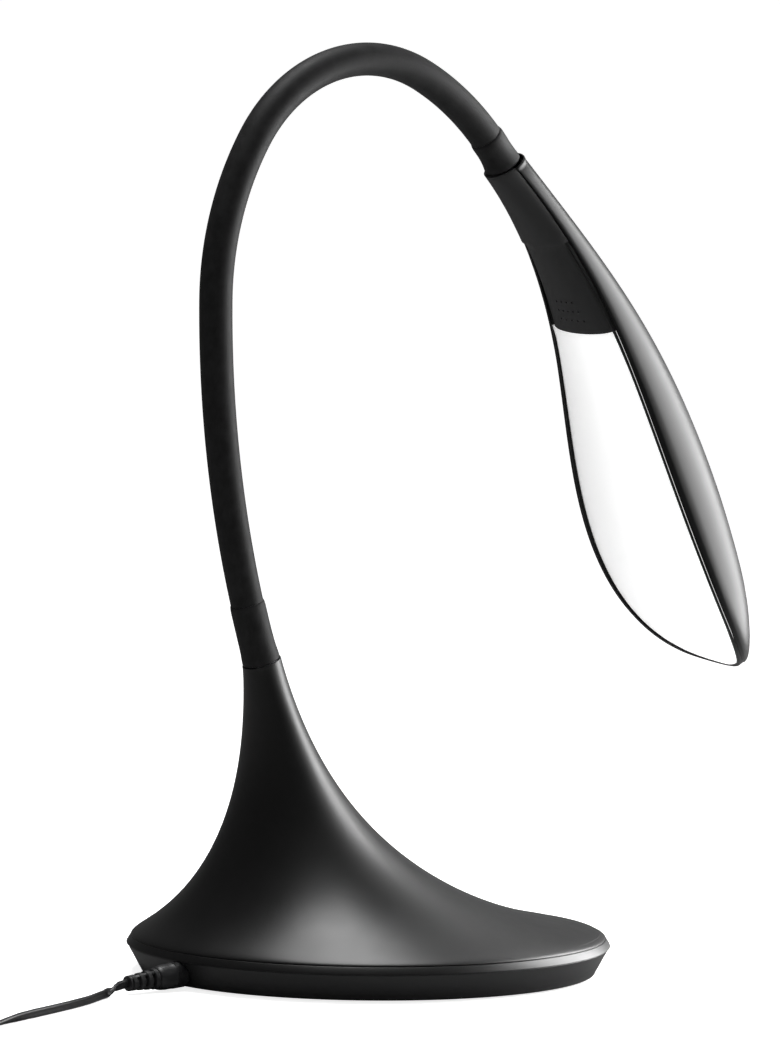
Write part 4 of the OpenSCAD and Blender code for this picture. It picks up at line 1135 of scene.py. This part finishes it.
def makeCuff(name, rings):
    cuff = walkRings(name, rings, 64)
    faceOutwards(cuff, neckMiddle)
    giveWall(cuff, neckPlan["cuffWall"])
    smooth(cuff, 50)
    dress(cuff, "sleeveRubber")
    return cuff


lowerCuff = makeCuff("lowerCuff", [neckRing(s, r) for s, r in lowerCuffProfile])
upperCuff = makeCuff("upperCuff", [neckRing(neckLength - s, r) for s, r in upperCuffProfile])
enter(lowerCuff, "base", "silicone_sleeve", "neck_cuff_lower")
enter(upperCuff, "head", "silicone_sleeve", "neck_cuff_upper")
print("neck made")


headPlan = {
    "length": 242.7, "tilt": 31.6,
    # along, half width, parting line, back ridge
    "curve": [(0, 8.7, 0, 9.0), (101.934, 27.4, 16.5, 26.7), (116.496, 19.2, -10.6, 40.6),
              (218.43, 78.5, -42.5, 1.8), (242.7, 11.5, -4.5, 2.2), (242.7, 0, 0, 0)],
    "underCurve": [-8.7, -1.8, -1.5, -2.6],
    "coverNeck": 37.7, "coverEnd": 80.0, "frameDepth": 2.0, "flankFoot": 0.985,
    "tipFlat": 236.5, "tipSlope": 0.7,  # past tipFlat the light's face runs out straight
    "rimSteps": 3, "rimDrop": 0.2,  # how far the shell's edge turns in under its widest line
    "lip": 1.5, "edgeBead": 0.4, "tipSlim": 0.3, "slimFrom": 200,
    "gap": 0.15, "wall": 2.0, "archSteps": 28, "coverWall": 1.6,
    "lensWall": 1.5, "lensRecess": 0.25, "lensBow": 0.9,
    "vents": [(65, 4, 3.2), (69.4, 5, 3.1), (73.8, 5, 3.6)], "ventRadius": 0.45,
}


def headCurve(t):
    points = [list(row) for row in headPlan["curve"]]
    while len(points) > 1:
        points = [[a + (b - a) * t for a, b in zip(p, q)] for p, q in zip(points, points[1:])]
    return points[0]


def headT(along):
    low, high = 0.0, 1.0
    for _ in range(30):
        middle = (low + high) / 2
        low, high = (middle, high) if headCurve(middle)[0] < along else (low, middle)
    return (low + high) / 2


def headRows(first, last, count):
    a, b = headT(first), headT(last)
    return [headCurve(a + (b - a) * i / count) for i in range(count + 1)]


def rimIn():  # half width at the parting line, as a share of the widest line
    return math.cos(math.pi * headPlan["rimSteps"] / headPlan["archSteps"])


def rimLevel(row):
    turn = math.sin(math.pi * headPlan["rimSteps"] / headPlan["archSteps"])
    return row[2] - turn * headPlan["rimDrop"] * (row[3] - row[2])


def insetRows(first, last, count, inset):  # the parting line moved in by the same distance all round
    a, b = headT(first), headT(last) - 1e-5
    rows = []
    for i in range(1, count + 1):
        t = a + (b - a) * (1 - (1 - i / count) ** 1.6)
        here, after = headCurve(t), headCurve(t + 1e-5)
        run, rise = after[0] - here[0], (after[1] - here[1]) * rimIn()
        along = here[0] + inset * rise / math.hypot(run, rise)
        half = here[1] * rimIn() - inset * run / math.hypot(run, rise)
        if half > 0.4 and first < along < last:
            rows.append([along] + headCurve(headT(along))[1:] + [half])
    rows.insert(0, [first] + headCurve(headT(first))[1:] + rows[0][-1:])
    if last < headPlan["length"]:
        rows.append([last] + headCurve(headT(last))[1:] + rows[-1][-1:])
    return rows


def faceLevel(along):
    start = min(along, headPlan["tipFlat"])
    return headCurve(headT(start))[2] - headPlan["frameDepth"] + headPlan["tipSlope"] * (along - start)


def underside(along):
    t = min(1, along / headPlan["coverEnd"])
    return onCurve([(v, 0) for v in headPlan["underCurve"]], t).x


def headFrame():
    t = math.radians(headPlan["tilt"])
    turn = Matrix(((math.cos(t), 0, math.sin(t)), (0, -1, 0), (math.sin(t), 0, -math.cos(t))))
    return Matrix.Translation(Vector((neckEnd.x, 0, neckEnd.y)) * mm) @ turn.to_4x4()


def headInside(q):  # a point inside the head at the same place along it
    row = headCurve(headT(max(0, min(headPlan["length"], q.z / mm))))
    return Vector((row[2] * mm, 0, q.z))


def makeHeadShell(p):
    rows = [[0.4, 8.72, 0.02, 9.05], [0.42, 8.95, 0.02, 9.3], [0.7, 9.08, 0.03, 9.42],
            [1.7, 9.1, 0.05, 9.45], [2.1, 9.0, 0.1, 9.4]]
    for r in headRows(2.8, p["length"] - 0.25, 76):
        slim = p["tipSlim"] * max(0, (r[0] - p["slimFrom"]) / (p["length"] - p["slimFrom"])) ** 2
        rows.append([r[0], r[1], r[2], r[3] - slim * (r[3] - r[2])])
    shell = walkArch("headShell", rows, p["archSteps"], 1, p["rimSteps"], p["rimDrop"])
    tip = max(v.co.z for v in shell.data.vertices)
    editWhere(shell, "vertices", lambda v: v.co.z > tip - 0.001 * mm)
    bpy.ops.mesh.merge(type="CENTER")
    endEdit()
    faceOutwards(shell, headInside)
    weights = shell.vertex_groups.new(name="wallWeight")
    for vertex in shell.data.vertices:
        left = p["length"] - vertex.co.z / mm
        weights.add([vertex.index], max(0.0, min(1.0, (left - 1) / 24)), "REPLACE")
    giveWall(shell, p["wall"], "wallWeight")
    shell.vertex_groups.clear()

    def atRim(index):  # on the parting line, or on the collar's outer end
        along, y, x = (shell.data.vertices[index].co / mm).zyx
        row = headCurve(headT(along))
        level = x - rimLevel(row) if 2.5 < along < p["length"] - 1 else 1
        return abs(level) < 0.1 and abs(abs(y) - row[1] * rimIn()) < 0.1 or 0.41 < along < 0.75

    editWhere(shell, "edges", lambda e: all(atRim(v) for v in e.vertices))
    bpy.ops.mesh.bevel(offset=p["edgeBead"] * mm, segments=2, material=1)
    endEdit()
    settle(shell, headFrame())
    smooth(shell, 85)
    dress(shell, "headSatin", "litEdge")
    return shell


def makeHeadCover(p):
    rows = [[r[0], r[1] * rimIn(), rimLevel(r) - 0.1, underside(r[0])]
            for r in headRows(0.4, p["coverNeck"], 20)]
    for r in insetRows(p["coverNeck"] + 0.01, p["coverEnd"], 24, p["lip"] + 2 * p["gap"]):
        rows.append([r[0], r[-1], r[2] + 0.4, underside(r[0])])
    cover = walkArch("headCover", rows, 24, -1)
    editWhere(cover, "vertices", lambda v: v.co.z > (p["coverEnd"] - 0.01) * mm)
    bpy.ops.mesh.edge_face_add()
    endEdit()
    faceOutwards(cover, headInside)
    giveWall(cover, p["coverWall"])
    roundEdges(cover, 0.2, 2, 50)
    pin = addCylinder(p["ventRadius"], 12, (0, 0, 0), (0, math.pi / 2, 0), 14)
    pins = []
    for along, count, pitch in p["vents"]:
        for i in range(count):
            copy = pin.copy()
            copy.data = pin.data.copy()
            bpy.context.scene.collection.objects.link(copy)
            copy.location = Vector((underside(along), (i - (count - 1) / 2) * pitch, along)) * mm
            pins.append(copy)
    bpy.data.objects.remove(pin)
    cutWith(cover, joinAll("ventPins", pins))
    settle(cover, headFrame())
    smooth(cover, 30)
    dress(cover, "coverBlack")
    return cover


def walkStrip(name, rows, foot):
    # rows: (along, half width, low, high); the section's lower side is foot times as wide
    along, half, low, high = rows[0]
    deselectAll()
    bpy.ops.mesh.primitive_plane_add(size=1)
    piece = namePiece(name)
    startEdit()
    bpy.ops.transform.resize(value=((high - low) * mm, 2 * half * mm, 1), center_override=(0, 0, 0))
    bpy.ops.transform.translate(value=((low + high) / 2 * mm, 0, along * mm))
    endEdit()
    for vertex in piece.data.vertices:
        if vertex.co.x < (low + high) / 2 * mm:
            vertex.co.y *= foot
    startEdit()
    for nextAlong, nextHalf, nextLow, nextHigh in rows[1:]:
        shift = ((nextLow + nextHigh) - (low + high)) / 2
        bpy.ops.mesh.extrude_region_move(TRANSFORM_OT_translate={
            "value": (shift * mm, 0, (nextAlong - along) * mm)})
        bpy.ops.transform.resize(
            value=((nextHigh - nextLow) / (high - low), nextHalf / half, 1),
            center_override=((nextLow + nextHigh) / 2 * mm, 0, nextAlong * mm))
        along, half, low, high = nextAlong, nextHalf, nextLow, nextHigh
    bpy.ops.mesh.select_all(action="SELECT")
    bpy.ops.mesh.normals_make_consistent(inside=False)
    endEdit()
    return piece


def makeLightFrame(p):
    rows = []
    for r in headRows(p["coverNeck"] + p["gap"], p["length"] - 0.25, 90):
        level = rimLevel(r) - 0.08
        rows.append([r[0], r[1] * rimIn(), min(level - 0.3, faceLevel(r[0])), level])
    rim = walkStrip("lightFrame", rows, p["flankFoot"])
    rows = [[r[0], r[-1], r[2] - 8, r[2] + 1]
            for r in insetRows(p["coverNeck"] - 1, p["length"], 84, p["lip"])]
    cutWith(rim, walkStrip("opening", rows, 1.0))
    roundEdges(rim, 0.22, 2, 45)
    settle(rim, headFrame())
    smooth(rim, 30)
    dress(rim, "matteBlack")
    return rim


def makeDiffuser(p):
    rows = []
    for r in insetRows(p["coverEnd"] + p["gap"], p["length"], 80, p["lip"] + p["gap"]):
        level = faceLevel(r[0]) + p["lensRecess"]
        rows.append([r[0], r[-1], level + min(p["lensBow"], r[-1] * 0.05), level])
    lens = walkArch("diffuser", rows, 24, -1)
    faceOutwards(lens, lambda q: Vector((q.x + 0.02, q.y, q.z)))
    # painted shade: from one side's edge to near the middle the glow dims, as if that side were less lit
    rim = lens.data.attributes.new("paintedSideShade", "FLOAT", "POINT")
    for vertex in lens.data.vertices:
        row = headCurve(headT(vertex.co.z / mm))
        half = max(1, row[1] * rimIn() - p["lip"])
        off = vertex.co.y / mm / half  # +1 and -1 at the two sides
        rim.data[vertex.index].value = min(1, max(0, (-off - 0.1) / 0.9))
    giveWall(lens, p["lensWall"])
    roundEdges(lens, 0.15, 2, 50)
    settle(lens, headFrame())
    smooth(lens, 30)
    dress(lens, "opalPlastic")
    return lens


enter(makeHeadShell(headPlan), "head", "satin_black_plastic", "head_shell")
enter(makeHeadCover(headPlan), "head", "matte_black_plastic", "head_cover")
enter(makeLightFrame(headPlan), "head", "matte_black_plastic", "light_frame")
enter(makeDiffuser(headPlan), "head", "opal_plastic", "diffuser")
print("head made")


studio = {
    "aim": (0.01, 0, 0.2),  # m, where the boxes point
    "floorSize": 14, "floorColour": 0.8, "floorInGloss": 0.2, "floorLift": 0.8,
    "ambient": 0.28, "background": 1.0,
    "roomNear": 0.04, "roomFar": 0.3,  # what gloss shows of the room, on the left and on the right
    "boxes": [  # name, degrees round to the camera's right, degrees up, m away, width, height, radiance
        ("key", 111, 5, 0.5, 0.45, 0.48, 9.0),
        ("keyEdge", 104, 10, 0.6, 1.0, 0.6, 0.7),
        ("top", -130, 82, 1.2, 0.6, 1.03, 9.5),
    ],
}


def makeFloor(s):  # it looks white to the camera, but dark in the lamp's gloss
    deselectAll()
    bpy.ops.mesh.primitive_plane_add(size=s["floorSize"])
    floor = namePiece("studioFloor")
    material = bpy.data.materials.new("paleFloor")
    material.use_nodes = True
    tree = material.node_tree
    shader = tree.nodes["Principled BSDF"]
    shader.inputs["Roughness"].default_value = 0.9
    shader.inputs["Specular IOR Level"].default_value = 0.1
    path = tree.nodes.new("ShaderNodeLightPath")
    colour = mixColours(tree, path.outputs["Is Glossy Ray"], [s["floorColour"]] * 3,
                        [s["floorInGloss"]] * 3)
    wire(tree, (colour, shader.inputs["Base Color"]))
    direct = newMath(tree, "MAXIMUM", path.outputs["Is Camera Ray"], path.outputs["Is Transmission Ray"])
    seen = newMath(tree, "MULTIPLY", direct, s["floorLift"])
    lift = tree.nodes.new("ShaderNodeEmission")
    add = tree.nodes.new("ShaderNodeAddShader")
    output = tree.nodes["Material Output"]
    wire(tree, (seen, lift.inputs["Strength"]),
         (shader.outputs[0], add.inputs[0]), (lift.outputs[0], add.inputs[1]),
         (add.outputs[0], output.inputs["Surface"]))
    floor.data.materials.append(material)


def makeWorld(s):
    world = bpy.data.worlds.new("studio")
    bpy.context.scene.world = world
    world.use_nodes = True
    tree = world.node_tree
    ambient = tree.nodes["Background"]
    ambient.inputs["Color"].default_value = (1, 1, 1, 1)
    ambient.inputs["Strength"].default_value = s["ambient"]
    white = tree.nodes.new("ShaderNodeBackground")
    white.inputs["Color"].default_value = (1, 1, 1, 1)
    path = tree.nodes.new("ShaderNodeLightPath")
    seen = newMath(tree, "MAXIMUM", path.outputs["Is Camera Ray"],
                   newMath(tree, "MAXIMUM", path.outputs["Is Glossy Ray"],
                           path.outputs["Is Transmission Ray"]))
    coords = tree.nodes.new("ShaderNodeTexCoord")
    along = tree.nodes.new("ShaderNodeVectorMath")
    along.operation = "DOT_PRODUCT"
    along.inputs[1].default_value = (Vector((-viewBack.x, -viewBack.y, 0)).normalized() * 0.5
                                     + Vector((viewRight.x, viewRight.y, 0)).normalized() * 0.85)
    wire(tree, (coords.outputs["Generated"], along.inputs[0]))
    room = mapRange(tree, along.outputs["Value"], 0, 1, s["roomNear"], s["roomFar"])
    strength = tree.nodes.new("ShaderNodeMix")
    wire(tree, (path.outputs["Is Glossy Ray"], strength.inputs["Factor"]), (room, strength.inputs["B"]),
         (strength.outputs["Result"], white.inputs["Strength"]))
    strength.inputs["A"].default_value = s["background"]
    mix = tree.nodes.new("ShaderNodeMixShader")
    wire(tree, (seen, mix.inputs[0]), (ambient.outputs[0], mix.inputs[1]),
         (white.outputs[0], mix.inputs[2]),
         (mix.outputs[0], tree.nodes["World Output"].inputs["Surface"]))


def addSoftbox(name, around, above, distance, width, height, radiance):
    a, e = math.radians(around), math.radians(above)
    flatBack = Vector((viewBack.x, viewBack.y, 0)).normalized()
    flatRight = Vector((viewRight.x, viewRight.y, 0)).normalized()
    toLamp = (flatBack * math.cos(a) + flatRight * math.sin(a)) * math.cos(e)
    toLamp.z += math.sin(e)
    data = bpy.data.lights.new(name, "AREA")
    data.shape = "RECTANGLE"
    data.size = width
    data.size_y = height
    data.energy = radiance * math.pi * width * height
    lamp = bpy.data.objects.new(name, data)
    bpy.context.scene.collection.objects.link(lamp)
    lamp.location = Vector(studio["aim"]) + toLamp * distance
    lamp.visible_camera = False
    side = flatRight if above > 60 else Vector((0, 0, 1)).cross(toLamp)
    side = (side - toLamp * side.dot(toLamp)).normalized()
    lamp.rotation_euler = Matrix((side, toLamp.cross(side), toLamp)).transposed().to_euler()


makeFloor(studio)
makeWorld(studio)
for box in studio["boxes"]:
    addSoftbox(*box)
bpy.context.scene.view_settings.view_transform = "Standard"
print("studio lit")
